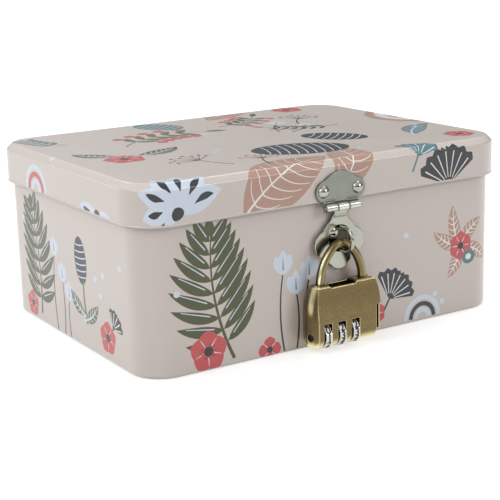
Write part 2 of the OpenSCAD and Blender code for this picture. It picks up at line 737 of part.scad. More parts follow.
// Half of the case: side is -1 for the front shell and 1 for the back shell
module case_shell(side) {
    front_skin = case_wall / 2;
    difference() {
        union() {
            intersection() {
                difference() {
                    union() {
                        difference() {
                            case_form(0);
                            case_form(case_wall);
                        }
                        intersection() {
                            case_form(eps);
                            button_recess(case_wall);
                        }
                    }
                    button_recess(0);
                    top_notch();
                }
                span([-far, min(0, side * case_t), 0], [far, max(0, side * case_t), 2 * far]);
            }
            intersection() {
                case_form(case_wall / 2);
                union() {
                    rod_y(side * slot_half, side * case_t, pivot_x, pivot_z, eye_r);
                    for (spot = rivet_spots)
                        rod_y(side * 0, side * case_t, spot[0], spot[1], boss_r);
                    children();
                }
            }
        }
        shackle_room();
        dial_room();
        rod_y(-half_at(pivot_z) + front_skin, case_t, pivot_x, pivot_z, pivot_r);
        for (spot = rivet_spots) {
            rod_y(-half_at(spot[1]) + case_wall, case_t, spot[0], spot[1], rivet_r);
            rod_y(half_at(spot[1]) - 0.5, case_t, spot[0], spot[1], rivet_r + 0.5);
        }
        rod_x(-far, spindle_x0, -dial_forward, dial_z, reset_r + pin_gap);
        rod_x(spindle_x0 - 1, collar_x, -dial_forward, dial_z, spindle_r + pin_gap);
        span([recess_x - case_wall - 1, -latch_w / 2 - 0.2, latch_z - 0.2],
            [far, latch_w / 2 + 0.2, latch_z + latch_h + 0.2]);
    }
}

module at_lock() {
    translate([lock_x, lock_y, 0]) children();
}

module lock_front_shell() color([0.55, 0.47, 0.26]) at_lock() case_shell(-1) {
    for (x = [web_left_x, web_right_x])
        span([x, -case_t, case_z0], [x + web_w, -eps, dial_z + web_rise]);
}

module lock_back_shell() color([0.55, 0.47, 0.26]) at_lock() case_shell(1) {
    span([stop_x - stop_w, -1.4, latch_z - 0.6], [stop_x, case_t, latch_z + latch_h + 0.4]);
    span([latch_x0 - guide_before, 0, latch_z - 1.1], [latch_x0 + guide_after, case_t, latch_z - 0.2]);
    span([comb_x0, comb_back, comb_z0], [comb_x1, case_t, comb_z1]);
}

module case_rivets() color([0.50, 0.43, 0.25]) at_lock() for (spot = rivet_spots) {
    rod_y(-half_at(spot[1]) + case_wall + 0.2, half_at(spot[1]) - 0.5, spot[0], spot[1], rivet_r);
    rod_y(half_at(spot[1]) - 0.5, half_at(spot[1]) - 0.2, spot[0], spot[1], rivet_r + 0.5);
}

module shackle_pivot_pin() color([0.50, 0.43, 0.25]) at_lock()
    rod_y(-half_at(pivot_z) + case_wall / 2, half_at(pivot_z) - 0.25, pivot_x, pivot_z, pivot_r);

// Shackle: straight legs, leaning sides and a round crown, as one bent bar

function turn(cx, cz, r, a0, a1, n) =
    [for (i = [0:n]) let (a = a0 + (a1 - a0) * i / n) [cx + r * cos(a), cz + r * sin(a), a]];

// Places along the bar, each with the direction that faces out of the arch
bar_path = concat(
    [[-leg_half, leg_end_z, 180]],
    turn(side_r - leg_half, leg_top_z, side_r, 180, 180 - side_a, 8),
    turn(0, crown_z, crown_r, 172 - side_a, side_a + 8, 10),
    turn(leg_half - side_r, leg_top_z, side_r, side_a, 0, 8),
    [[leg_half, pivot_z, 0]]
);

module bent_bar(path, r) {
    sides = 18;
    last = len(path) - 1;
    points = [for (p = path) for (j = [0:sides - 1]) let (b = 360 * j / sides)
        [p[0] + r * cos(b) * cos(p[2]), r * sin(b), p[1] + r * cos(b) * sin(p[2])]];
    skin = [for (i = [0:last - 1]) for (j = [0:sides - 1])
        let (k = (j + 1) % sides, p = i * sides, q = p + sides)
        each [[p + j, p + k, q + k], [p + j, q + k, q + j]]];
    ends = [[for (j = [0:sides - 1]) sides - 1 - j], [for (j = [0:sides - 1]) last * sides + j]];
    polyhedron(points, concat(skin, ends));
}

module shackle() color([0.57, 0.49, 0.27]) at_lock() difference() {
    union() {
        bent_bar(bar_path, bar_r);
        rod_y(0.15 - bar_r, bar_r - 0.15, pivot_x, pivot_z, eye_r);
    }
    rod_y(-case_t, case_t, pivot_x, pivot_z, pivot_r + pin_gap);
}

// Dials and their spindle

module dial(index) color([0.75, 0.75, 0.73]) at_lock() difference() {
    translate([dial_xs[index] - dial_w / 2, -dial_forward, dial_z]) rotate([0, 90, 0])
        cylinder(r = dial_r, h = dial_w, $fn = 10);
    rod_x(-far, far, -dial_forward, dial_z, spindle_r + pin_gap);
}

module dial_spindle() color([0.66, 0.66, 0.65]) at_lock() {
    rod_x(spindle_x0, collar_x + collar_w, -dial_forward, dial_z, spindle_r);
    rod_x(collar_x, collar_x + collar_w, -dial_forward, dial_z, collar_r);
}

module spindle_spring() color([0.66, 0.66, 0.65]) at_lock()
    translate([web_right_x + web_w + 0.02, -dial_forward, dial_z]) rotate([0, 90, 0])
        coil(collar_x - web_right_x - web_w - 0.04, spindle_r + 0.55, 0.3, 4);

// Comb of three fingers over the dials
module detent_spring() color([0.66, 0.66, 0.65]) at_lock() {
    span([comb_x0, comb_back - finger_t, comb_z0], [comb_x1, comb_back, comb_z1]);
    for (x = dial_xs) {
        span([x - finger_w / 2, comb_back - finger_t, finger_z],
            [x + finger_w / 2, comb_back, comb_z0 + 0.1]);
        span([x - finger_w / 2, -dial_forward, finger_z],
            [x + finger_w / 2, comb_back, finger_z + finger_t]);
    }
}

// Release button, latch plate and return spring

module release_button() color([0.57, 0.49, 0.27]) at_lock() intersection() {
    case_form(button_inset);
    span([button_x, -case_t / 2 + 0.6, button_z], [far, case_t / 2 - 0.6, button_z + button_h]);
}

module latch_plate() color([0.66, 0.66, 0.65]) at_lock()
    span([latch_x0, -latch_w / 2, latch_z], [button_x, latch_w / 2, latch_z + latch_h]);

module release_spring() color([0.66, 0.66, 0.65]) at_lock()
    translate([stop_x + 0.02, 0, latch_z + latch_h / 2]) rotate([0, 90, 0])
        coil(release_spring_l, 0.8, 0.2, 3);

module reset_pin() color([0.20, 0.20, 0.20]) at_lock() difference() {
    rod_x(reset_x0, reset_x1, -dial_forward, dial_z, reset_r);
    span([reset_x0 - 1, -dial_forward - far, dial_z - 0.25], [reset_x0 + 0.4, far, dial_z + 0.25]);
}

tub_wall();
base_panel();
staple_plate();
staple_backing();
staple_loop();
translate([-hinge_x, 0, 0]) hinge_tub_leaf();  // hinge_tub_leaf_left
translate([hinge_x, 0, 0]) hinge_tub_leaf();  // hinge_tub_leaf_right
translate([-hinge_x, 0, 0]) hinge_pin();  // hinge_pin_left
translate([hinge_x, 0, 0]) hinge_pin();  // hinge_pin_right
hinge_tub_rivets();
lid_shell();
hasp_plate();
hasp_rivets();
hasp_pin();
translate([-hinge_x, 0, 0]) hinge_lid_leaf();  // hinge_lid_leaf_left
translate([hinge_x, 0, 0]) hinge_lid_leaf();  // hinge_lid_leaf_right
hinge_lid_rivets();
hasp_leaf();
lock_front_shell();
lock_back_shell();
shackle();
shackle_pivot_pin();
case_rivets();
dial_spindle();
spindle_spring();
detent_spring();
dial(0);  // dial_left
dial(1);  // dial_middle
dial(2);  // dial_right
release_button();
latch_plate();
release_spring();
reset_pin();
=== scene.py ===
import math

import bmesh
import bpy
import numpy as np
from mathutils import Matrix, Vector
from mathutils.geometry import delaunay_2d_cdt


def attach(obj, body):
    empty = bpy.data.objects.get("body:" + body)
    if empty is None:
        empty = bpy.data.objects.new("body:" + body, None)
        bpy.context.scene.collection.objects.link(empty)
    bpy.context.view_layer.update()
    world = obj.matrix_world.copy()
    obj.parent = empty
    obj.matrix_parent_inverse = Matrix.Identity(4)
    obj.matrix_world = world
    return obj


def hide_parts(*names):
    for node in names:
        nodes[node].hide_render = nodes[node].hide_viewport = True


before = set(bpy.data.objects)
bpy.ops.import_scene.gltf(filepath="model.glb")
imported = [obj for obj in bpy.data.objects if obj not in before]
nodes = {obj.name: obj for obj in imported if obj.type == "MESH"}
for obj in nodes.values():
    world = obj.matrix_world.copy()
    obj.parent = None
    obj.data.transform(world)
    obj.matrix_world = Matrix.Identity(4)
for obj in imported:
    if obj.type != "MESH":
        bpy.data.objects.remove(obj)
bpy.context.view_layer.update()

# Lengths below are millimetres in the part's own frame, and become metres when a mesh is made.
MM = 0.001

# Sizes that the solids have too
LID_W, LID_D, BOX_H = 180.0, 135.5, 76.0
SKIRT_Z = 59.5
SHEET_T = 0.4
LID_CORNER_R = 16.4
TUB_W, TUB_D, TUB_CORNER_R = 175.4, 130.9, 14.1
CURL_Z, CURL_R = 74.1, 1.1
BASE_BEND_R, BASE_LIP = 1.6, 3.0
AXIS_Y, AXIS_Z = 69.6, 57.3
PLATE_Y, PLATE_T = 68.0, 0.8
KNUCKLE_R, BORE_R = 1.6, 0.85
EAR_UP, HASP_RIVET_X = 4.4, 8.3
HINGE_X, HINGE_RIVET_X, LID_RIVET_Z, TUB_RIVET_Z = 52, 4.8, 65.5, 45.8
WALL_Y = TUB_D / 2
LEAF_Y = WALL_Y + 1.45
STAPLE_Z, STAPLE_H, WIRE_R = 39.6, 8.8, 0.8
STAPLE_MID = STAPLE_Z + STAPLE_H / 2
LOCK_X, LOCK_Y = -2.2, -71.35
CASE_Z0, CASE_H, CASE_T, CASE_TOP_T = 1.9, 26.2, 11.0, 6.4
CASE_Z1 = CASE_Z0 + CASE_H
DIAL_XS = (-10.3, -3.5, 3.3)
DIAL_Y, DIAL_Z, DIAL_R, DIAL_W = -1.35, 6.8, 5.2, 3.0
SHACKLE_X, PIVOT_UP, BUTTON_UP = 10.4, 21.6, 8.95


def placed(name, data):
    """A new object in the scene."""
    ob = bpy.data.objects.new(name, data)
    bpy.context.scene.collection.objects.link(ob)
    return ob

# Camera at the photograph's viewing angle
AZIMUTH, ELEVATION, ROLL = (math.radians(a) for a in (-32.15, 14.43, -1.48))
DISTANCE, TARGET, LENS = 570.4, Vector((0, 0, 25.2)), 91.82


def aim_camera():
    """Looks at TARGET from DISTANCE, with the picture turned by ROLL."""
    back = Vector((math.sin(AZIMUTH) * math.cos(ELEVATION),
                   -math.cos(AZIMUTH) * math.cos(ELEVATION), math.sin(ELEVATION)))
    level = Vector((math.cos(AZIMUTH), math.sin(AZIMUTH), 0))
    upright = back.cross(level)
    right = math.cos(ROLL) * level + math.sin(ROLL) * upright
    up = math.cos(ROLL) * upright - math.sin(ROLL) * level
    data = bpy.data.cameras.new("camera")
    data.lens, data.sensor_width, data.clip_end = LENS, 36, 100
    camera = placed("camera", data)
    turn = Matrix((right, up, back)).transposed().to_4x4()
    camera.matrix_world = Matrix.Translation((TARGET + back * DISTANCE) * MM) @ turn
    bpy.context.scene.camera = camera


aim_camera()

# Materials

def srgb(r, g, b):
    return tuple((c / 255 / 12.92) if c <= 10 else ((c / 255 + 0.055) / 1.055) ** 2.4
                 for c in (r, g, b)) + (1.0,)


def add_node(tree, kind, inputs=(), **settings):
    """A shader node, with a value or a link on each input that is named."""
    made = tree.nodes.new("ShaderNode" + kind)
    for key, value in settings.items():
        setattr(made, key, value)
    for key, value in dict(inputs).items():
        if isinstance(value, bpy.types.NodeSocket):
            tree.links.new(value, made.inputs[key])
        else:
            made.inputs[key].default_value = value
    return made


class Shader:
    """A node material under construction, with its Principled shader."""

    def __init__(self, name, **values):
        self.mat = bpy.data.materials.new(name)
        self.mat.use_nodes = True
        self.tree = self.mat.node_tree
        self.main = self.tree.nodes["Principled BSDF"]
        self.coords = self.node("TexCoord")
        for key, value in values.items():
            self.main.inputs[key.replace("_", " ")].default_value = value

    def node(self, kind, inputs=(), **settings):
        return add_node(self.tree, kind, inputs, **settings)

    def noise(self, scale, detail=3.0, stretch=(1, 1, 1), roughness=0.5):
        """Noise by the object's own coordinates, with scale in features per metre."""
        spread = self.node("Mapping", {"Vector": self.coords.outputs["Object"], "Scale": stretch})
        return self.node("TexNoise", {"Vector": spread.outputs["Vector"], "Scale": scale,
                                      "Detail": detail, "Roughness": roughness}).outputs["Fac"]

    def levels(self, value, low, high, to_low=0.0, to_high=1.0):
        return self.node("MapRange", {"Value": value, "From Min": low, "From Max": high,
                                      "To Min": to_low, "To Max": to_high}).outputs["Result"]

    def mix(self, factor, a, b, blend="MIX"):
        made = self.node("Mix", {0: factor, 6: a, 7: b}, data_type="RGBA", blend_type=blend)
        return made.outputs[2]

    def maths(self, operation, a, b):
        return self.node("Math", {0: a, 1: b}, operation=operation).outputs["Value"]

    def wear(self):
        """The wear and painted light that carve() gives each point."""
        return self.node("Attribute", attribute_name="wear").outputs["Fac"]

    def wire(self, key, socket):
        self.tree.links.new(socket, self.main.inputs[key])

    def bump(self, height, strength, distance):
        made = self.node("Bump", {"Height": height, "Strength": strength,
                                  "Distance": distance * MM})
        self.wire("Normal", made.outputs["Normal"])


INKS = {
    "ground": srgb(211, 200, 193),
    "olive": srgb(68, 72, 28),
    "navy": srgb(18, 24, 36),
    "coral": srgb(203, 80, 82),
    "pale": srgb(214, 224, 238),
    "teal": srgb(84, 126, 132),
    "tan": srgb(184, 146, 128),
    "white": srgb(238, 236, 232),
    "moss": srgb(98, 104, 66),
}


def printed_tin():
    """Lithographed tin: the inks that each face carries, slightly mottled, under a clear coat."""
    s = Shader("printed_tin", Coat_Weight=0.6, Coat_Roughness=0.06)
    inks = s.node("Attribute", attribute_name="print").outputs["Color"]
    tone = s.levels(s.noise(900, 4), 0.3, 0.7, 0.98, 1.0)
    mottle = s.node("CombineColor", {key: tone for key in ("Red", "Green", "Blue")})
    s.wire("Base Color", s.mix(1.0, inks, mottle.outputs["Color"], "MULTIPLY"))
    s.wire("Roughness", s.levels(s.noise(60, 3), 0.3, 0.7, 0.34, 0.42))
    waves = s.maths("MULTIPLY", s.noise(14, 1), 12.0)
    s.bump(s.maths("ADD", s.noise(1600, 2), waves), 0.15, 0.02)
    return s.mat


def bare_tin():
    s = Shader("bare_tin", Metallic=1.0, Coat_Weight=0.3, Coat_Roughness=0.1)
    s.wire("Base Color", s.mix(s.noise(220, 5), srgb(176, 172, 160), srgb(202, 198, 186)))
    s.wire("Roughness", s.levels(s.noise(500, 4, (1, 1, 12)), 0.3, 0.7, 0.26, 0.42))
    s.bump(s.noise(2500, 3, (1, 1, 20)), 0.2, 0.01)
    return s.mat


def plated(name, dark, light, smooth, rough):
    """Plated metal: painted shade in corners and recesses, a dark painted reflection on cut rims, dark
    seams, and a painted highlight on the knuckles, all by the wear and painted light that it is given.
    """
    s = Shader(name, Metallic=1.0)
    body = s.mix(s.levels(s.noise(120, 3), 0.3, 0.7), dark, light)
    wear = s.wear()
    # Painted highlight: the knuckles' near-white tone stands in for their reflections.
    body = s.mix(s.levels(wear, 0.1, 1.0), body, srgb(236, 236, 228))
    # Painted shade and dark painted reflections on corners, cut rims and the slot's plate, and dark
    # seams.
    s.wire("Base Color", s.mix(s.levels(wear, -0.1, -1.0), body, srgb(58, 52, 45)))
    worn = s.levels(wear, 0.1, 1.0, 1.0, 0.4)
    grain = s.levels(s.noise(900, 4, (1, 1, 5)), 0.3, 0.7, smooth, rough)
    s.wire("Roughness", s.maths("MULTIPLY", worn, grain))
    s.bump(s.noise(3000, 3, (8, 8, 1)), 0.06, 0.01)
    return s.mat


def aged_brass():
    """Antiqued brass: brown-olive film with dark patina in recesses and rubbed bright edges, plus
    painted highlights, dark painted reflections and a painted reflection of the floor, by the wear and
    painted light that it is given.
    """
    s = Shader("antique_brass", Metallic=1.0)
    speckle = s.levels(s.noise(1300, 6, roughness=0.7), 0.35, 0.65)
    cloud = s.levels(s.noise(240, 3), 0.4, 0.65)
    body = s.mix(speckle, srgb(112, 99, 68), srgb(137, 123, 86))
    body = s.mix(s.maths("MULTIPLY", cloud, 0.4), body, srgb(118, 96, 68))
    wear = s.wear()
    # Bright mixes: rubbed edges, painted highlights and a painted floor reflection; the near-white one
    # is a painted glint. Dark mix: patina in hollows and dark painted reflections.
    body = s.mix(s.levels(wear, 0.1, 1.0), body, srgb(222, 208, 158))
    body = s.mix(s.levels(wear, 0.9, 1.6), body, srgb(255, 245, 200))
    body = s.mix(s.levels(wear, -0.1, -1.0), body, srgb(40, 32, 20))
    s.wire("Base Color", body)
    rubbed = s.levels(wear, 0.3, 1.2, 1.0, 0.45)
    s.wire("Roughness", s.maths("MULTIPLY", rubbed, s.levels(speckle, 0, 1, 0.40, 0.28)))
    s.bump(s.noise(2400, 4), 0.2, 0.015)
    return s.mat


def paint(name, colour, roughness):
    """Dark paint or blacking, a little uneven in colour and gloss."""
    s = Shader(name)
    s.wire("Base Color", s.mix(s.noise(900, 4), tuple(c * 0.8 for c in colour[:3]) + (1,), colour))
    s.wire("Roughness", s.levels(s.noise(1200, 3), 0.3, 0.7, roughness - 0.08, roughness + 0.08))
    return s.mat


TIN = printed_tin()
BARE = bare_tin()
NICKEL = plated("nickel", srgb(168, 169, 157), srgb(176, 177, 165), 0.16, 0.24)
# A darker copy of the nickel for the hasp plate: its darker tone is painted shade, its higher
# roughness a satin finish.
SATIN_SHADED = plated("nickel_satin_shaded", srgb(133, 136, 127), srgb(141, 144, 135), 0.26, 0.34)
BRIGHT = plated("nickel_bright", srgb(164, 164, 155), srgb(180, 180, 172), 0.07, 0.12)
STEEL = plated("steel", srgb(150, 150, 148), srgb(176, 176, 172), 0.22, 0.36)
DIAL = plated("dial_metal", srgb(206, 206, 203), srgb(222, 222, 218), 0.2, 0.3)
BRASS = aged_brass()
DARK = paint("black_steel", srgb(40, 40, 42), 0.35)
DIGIT = paint("digit_black", srgb(14, 14, 16), 0.4)


# Mesh making

def piece(me, node, body):
    """Puts a mesh in the scene as a node's visible piece, on its body."""
    ob = placed(me.name, me)
    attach(ob, body)
    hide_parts(node)


def make(node, verts, faces, mats, body, normals=None, indices=None, wear=None):
    """A node's smooth piece from millimetres. Its wear and painted light runs from -1, dark with
    painted shade, dark painted reflections and patina, to 2, bright with rubbed wear and painted
    highlights.
    """
    me = bpy.data.meshes.new(node + "_visible")
    me.from_pydata((np.asarray(verts) * MM).tolist(), [], faces)
    for mat in mats:
        me.materials.append(mat)
    if indices is not None:
        me.polygons.foreach_set("material_index", np.asarray(indices, np.int32))
    if wear is not None:
        me.attributes.new("wear", "FLOAT", "POINT").data.foreach_set("value", wear)
    me.polygons.foreach_set("use_smooth", np.ones(len(me.polygons), bool))
    me.update()
    if normals is not None:
        me.normals_split_custom_set_from_vertices(np.asarray(normals).tolist())
    piece(me, node, body)


def unit(v):
    return v / np.maximum(np.linalg.norm(v, axis=1, keepdims=True), 1e-12)


def slope(f, p, h):
    steps = np.eye(3) * h
    return np.stack([f(p + e) - f(p - e) for e in steps], -1) / (2 * h)


def skin(f, lo, hi, step):
    """Quads over the zero surface of a distance function, by surface nets, drawn onto it."""
    axes = [np.arange(a - 1.7 * step, b + 2.7 * step, step) for a, b in zip(lo, hi)]
    d = f(np.stack(np.meshgrid(*axes, indexing="ij"), -1))
    cells = np.array(d.shape) - 1
    total = np.zeros((cells.prod(), 3))
    count = np.zeros(cells.prod())
    quads = []
    for axis in range(3):
        low = np.take(d, range(cells[axis]), axis)
        high = np.take(d, range(1, cells[axis] + 1), axis)
        at = np.argwhere((low < 0) != (high < 0))
        a, b = low[tuple(at.T)], high[tuple(at.T)]
        point = at.astype(float)
        point[:, axis] += a / (a - b)
        u, v = (axis + 1) % 3, (axis + 2) % 3
        around = []
        for du, dv in ((0, 0), (-1, 0), (-1, -1), (0, -1)):
            cell = at.copy()
            cell[:, u] += du
            cell[:, v] += dv
            index = np.ravel_multi_index(cell.T, cells)
            around.append(index)
            for k in range(3):
                total[:, k] += np.bincount(index, point[:, k], len(total))
            count += np.bincount(index, minlength=len(total))
        ring = np.stack(around, 1)
        ring[a > 0] = ring[a > 0][:, ::-1]
        quads.append(ring)
    used = np.flatnonzero(count)
    number = np.full(len(count), -1)
    number[used] = np.arange(len(used))
    origin = np.array([a[0] for a in axes])
    p = origin + total[used] / count[used][:, None] * step
    for _ in range(4):
        g = slope(f, p, step * 0.2)
        move = (f(p) / np.maximum((g * g).sum(1), 0.2))[:, None] * g
        size = np.linalg.norm(move, axis=1, keepdims=True)
        p = p - move * np.minimum(1, 0.4 * step / np.maximum(size, 1e-9))
    return p, number[np.concatenate(quads)], unit(slope(f, p, step * 0.3))


def bends(f, p, h):
    """How sharply the surface bends, in 1/mm: over 0 on edges and under 0 in corners."""
    total = -6 * f(p)
    for e in np.eye(3) * h:
        total += f(p + e) + f(p - e)
    return total / (h * h)


def carve(node, f, lo, hi, step, mat, body, shift=(0, 0, 0), wear=None):
    """A node's piece from a distance function, sampled between two corners and then moved."""
    p, quads, normals = skin(f, lo, hi, step)
    level = wear(p, normals, bends(f, p, 0.3)) if wear else np.zeros(len(p))
    make(node, p + np.array(shift), quads.tolist(), [mat], body, normals,
         wear=np.clip(level, -1, 2).astype(np.float32))


def cut_rims(low, high):
    """Painted light on plated sheet: painted shade in corners and a dark painted reflection on its cut
    rim between two heights, and a painted highlight on the knuckles, apart from their dark seams and a
    fine dark line along them."""
    def wear(p, normals, bend):
        rim = np.clip(1.15 - np.abs(normals[:, 1]) * 1.6, 0, 1)
        inside = (p[:, 2] > low) & (p[:, 2] < high)
        # Painted shade in corners and a dark painted reflection on the cut rim.
        dark = np.maximum(rim * inside * 0.8, np.clip(-bend * 0.8, 0, 1))
        off = np.abs(np.hypot(p[:, 1] + AXIS_Y, p[:, 2] - AXIS_Z) - KNUCKLE_R)
        knuckle = np.clip(1.3 - off * 4, 0, 1)
        seam = np.exp(-((np.abs(p[:, 0]) - 2.7) / 0.4) ** 2)
        line = np.exp(-((p[:, 2] - AXIS_Z - 0.35) / 0.2) ** 2)
        # Painted highlight on the knuckles; their seams and a line along them stay dark.
        painted_knuckle_sheen = knuckle * (0.6 - 1.3 * np.maximum(seam, 0.6 * line))
        return np.where(dark > 0.05, -dark, painted_knuckle_sheen * (bend < 2))
    return wear


# Distance functions: a is the space inside each, where it's negative

def xyz(p):
    return p[..., 0], p[..., 1], p[..., 2]


def both(a, b, r=0.0):
    """Where a and b meet, with edges of radius r."""
    return np.minimum(-r, np.maximum(a, b)) + np.hypot(np.maximum(r + a, 0), np.maximum(r + b, 0))


def either(a, b, r=0.0):
    """a and b joined, with a fillet of radius r."""
    return -both(-a, -b, r)


def slab(v, half):
    return np.abs(v) - half


def box2(u, v, hu, hv, r):
    du, dv = np.abs(u) - hu + r, np.abs(v) - hv + r
    return np.hypot(np.maximum(du, 0), np.maximum(dv, 0)) + np.minimum(np.maximum(du, dv), 0) - r


def bar2(u, v, a, b):
    """Distance in a plane from the stretch between two points."""
    a, b = np.array(a, float), np.array(b, float)
    along = b - a
    t = np.clip(((u - a[0]) * along[0] + (v - a[1]) * along[1]) / (along @ along), 0, 1)
    return np.hypot(u - a[0] - along[0] * t, v - a[1] - along[1] * t)


def ease(v, a, b):
    t = np.clip((v - a) / (b - a), 0, 1)
    return t * t * (3 - 2 * t)


# Lathe work for rivets and pins

def turned(node, profile, at, axis, mat, body, spots=((0, 0, 0),)):
    """A node's solids of revolution of (radius, height) points about axis, one at each spot."""
    sides = 40
    axis = np.array(axis, float)
    side = np.cross(axis, (0.3, 0.5, 0.8))
    side /= np.linalg.norm(side)
    other = np.cross(axis, side)
    circle = np.array([side * math.cos(a) + other * math.sin(a)
                       for a in (2 * math.pi * k / sides for k in range(sides))])
    around = [(k, (k + 1) % sides) for k in range(sides)]
    verts, faces = [], []
    for spot in spots:
        base = np.array(at) + np.array(spot)
        start = len(verts)
        for r, h in profile[1:-1]:
            verts += list(base + axis * h + circle * r)
        end = len(verts) - sides
        verts += [base + axis * profile[0][1], base + axis * profile[-1][1]]
        faces += [(p + k, p + n, p + sides + n, p + sides + k)
                  for p in range(start, end, sides) for k, n in around]
        for k, n in around:
            faces += [(end + sides, start + n, start + k), (end + sides + 1, end + k, end + n)]
    make(node, verts, faces, [mat], body)


def dome_profile(d, h, shank_r, tail, tail_h):
    """Rivet: tail, shank and domed head whose flat underside is at height 0."""
    ball = (d * d / 4 + h * h) / (2 * h)
    reach = math.asin(d / 2 / ball)
    steps = 12
    cap = [(ball * math.sin(a), h - ball + ball * math.cos(a))
           for a in (reach * (1 - i / steps) for i in range(1, steps))]
    return ([(0, -tail - tail_h), (shank_r, -tail - tail_h), (shank_r + 0.6, -tail - tail_h * 0.5),
             (shank_r + 0.7, -tail), (shank_r, -tail), (shank_r, 0), (d / 2 - 0.1, 0), (d / 2, 0.1)]
            + cap + [(0, h)])


# Flat drawing: each motif is a list of (outline, ink), painted over the ones before it

def polar(r, degrees):
    return r * math.cos(math.radians(degrees)), r * math.sin(math.radians(degrees))


def arc_points(cx, cy, r, a0, a1, n):
    spokes = (polar(r, a0 + (a1 - a0) * i / n) for i in range(n + 1))
    return [(cx + x, cy + y) for x, y in spokes]


def oval(cx, cy, rx, ry, n=20):
    return [(cx + rx * math.cos(2 * math.pi * k / n), cy + ry * math.sin(2 * math.pi * k / n))
            for k in range(n)]


def curve(a, b, bulge=0.0, n=10):
    """Points from a to b along a shallow bow, bulge to its left as a share of its length."""
    (ax, ay), (bx, by) = a, b
    points = []
    for i in range(n + 1):
        t = i / n
        off = 4 * bulge * t * (1 - t)
        points.append((ax + (bx - ax) * t - (by - ay) * off, ay + (by - ay) * t + (bx - ax) * off))
    return points


def beside(spine, half):
    """Rows of points at a distance to the left of a spine, and back down to its right."""
    d = unit(np.gradient(spine, axis=0))
    out = np.stack([-d[:, 1], d[:, 0]], 1) * half[:, None]
    return spine + out, (spine - out)[::-1]


def stroke(points, w0, w1=None):
    """Outline of a line whose width runs from w0 to w1."""
    spine = np.array(points, float)
    half = np.linspace(w0, w0 if w1 is None else w1, len(spine)) / 2
    return np.concatenate(beside(spine, half)).tolist()


def blade(length, width, bow=0.0, tip=1.0, n=14):
    """Leaf outline from its stalk at the origin up along y; tip over 1 moves its widest place up."""
    half = width / 2 * np.sin(math.pi * np.linspace(0, 1, n + 1) ** tip) ** 0.85
    left, right = beside(np.array(curve((0, 0), (0, length), bow, n)), half)
    return np.concatenate([left, right[1:-1]]).tolist()


def at(motif, x=0.0, y=0.0, turn=0.0):
    """The motif turned by degrees and then moved."""
    c, s = polar(1, turn)
    return [([(x + (c * px - s * py), y + (s * px + c * py)) for px, py in outline], ink)
            for outline, ink in motif]


def along(length, bow, t):
    """Place and heading on a leaf's spine."""
    x = -length * 4 * bow * t * (1 - t)
    lean = math.degrees(math.atan2(4 * bow * (1 - 2 * t), 1))
    return x, length * t, lean


def ribbed_leaf(length, width, ink, veins=6, bow=0.0):
    """Broad leaf with a pale midrib and veins."""
    rib = "white" if ink == "tan" else "pale"
    shapes = [(blade(length, width, bow, 0.9, 20), ink),
              (stroke(curve((0, -length * 0.12), (0, length * 0.94), bow, 14), 1.1, 0.3), rib)]
    for k in range(veins):
        t = 0.14 + 0.68 * k / veins
        x, y, lean = along(length, bow, t)
        reach = width * 0.44 * math.sin(math.pi * (t + 0.08) ** 0.9) ** 0.85
        for side in (-1, 1):
            vein = stroke(curve((0, 0), (0, reach * 1.25), 0.10 * side, 6), 0.55, 0.25)
            shapes += at([(vein, rib)], x, y, lean + side * 52)
    return shapes


def frond(length, width, pairs=9, bow=0.0):
    """Fern frond: pairs of pointed leaflets with pale ribs along a stalk."""
    shapes = [(stroke(curve((0, -length * 0.06), (0, length * 0.97), bow, 16), 1.5, 0.5), "olive")]
    for k in range(pairs):
        t = 0.10 + 0.82 * k / (pairs - 1)
        x, y, lean = along(length, bow, t)
        reach = width / 2 * (0.45 + 0.75 * math.sin(math.pi * (0.12 + t * 0.76))) * (1.18 - 0.45 * t)
        for side in (-1, 1):
            leaflet = [(blade(reach, length / pairs * 0.86, 0.06 * side, 0.85, 10), "olive"),
                       (stroke([(0, reach * 0.2), (0, reach * 0.8)], 0.5, 0.3), "pale")]
            shapes += at(leaflet, x, y, lean + side * (68 - 34 * t))
    tip = [(blade(width * 0.2, length / pairs * 0.8, 0, 0.9, 10), "olive")]
    return shapes + at(tip, 0, length * 0.95)


def poppy(r, petals=5):
    """Open flower with overlapping round petals, a ring of pollen and a dark heart."""
    shapes = []
    petal = [(blade(r, r * 0.98, 0, 1.35, 14), "coral")]
    thread = [(stroke([(0, r * 0.3), (0, r * 0.72)], 0.5, 0.15), "white")]
    for part, offset in ((petal, 0), (thread, 0.5)):
        for k in range(petals):
            shapes += at(part, turn=360 * (k + offset) / petals)
    spots = [(0, 0, 0.24, 16)] + [(x, y, 0.04, 8) for x, y in oval(0, 0, r * 0.36, r * 0.36, 9)]
    return shapes + [(oval(x, y, r * size, r * size, n), "navy") for x, y, size, n in spots]


def tulip(height, r, bow=0.08):
    """Cup-shaped flower on a long thin stem."""
    shapes = [(stroke(curve((0, 0), (0, height), bow, 10), 0.9, 0.6), "navy")]
    cup = []
    for turn, length in ((-24, 1.0), (24, 1.0), (0, 1.15)):
        cup += at([(blade(r * 1.7 * length, r * 0.95, 0, 1.1, 12), "pale")], 0, 0, turn)
    cup.append((stroke([(0, r * 0.4), (0, r * 1.3)], 0.5, 0.2), "navy"))
    return shapes + at(cup, 0, height - r * 0.3)


def fan(r, spread=62, ribs=7, ink="navy", lines="white"):
    """Fan-shaped leaf with pale ribs and a scalloped edge."""
    rim = []
    steps = ribs * 4
    for i in range(steps + 1):
        a = math.radians(90 + spread * (1 - 2 * i / steps))
        rr = r * (1 - 0.05 * math.cos(2 * math.pi * i / 4) - 0.14 * (i == steps // 2))
        rim.append((rr * math.cos(a), rr * math.sin(a)))
    shapes = [([(0, 0)] + rim[::-1], ink), (stroke([(0, 0.5), (0, -r * 0.55)], 0.8, 1.0), ink)]
    rib = [(stroke([(0, r * 0.2), (0, r * 0.86)], 0.35, 0.6), lines)]
    for k in range(ribs):
        shapes += at(rib, turn=spread * 0.86 * (1 - 2 * k / (ribs - 1)))
    return shapes


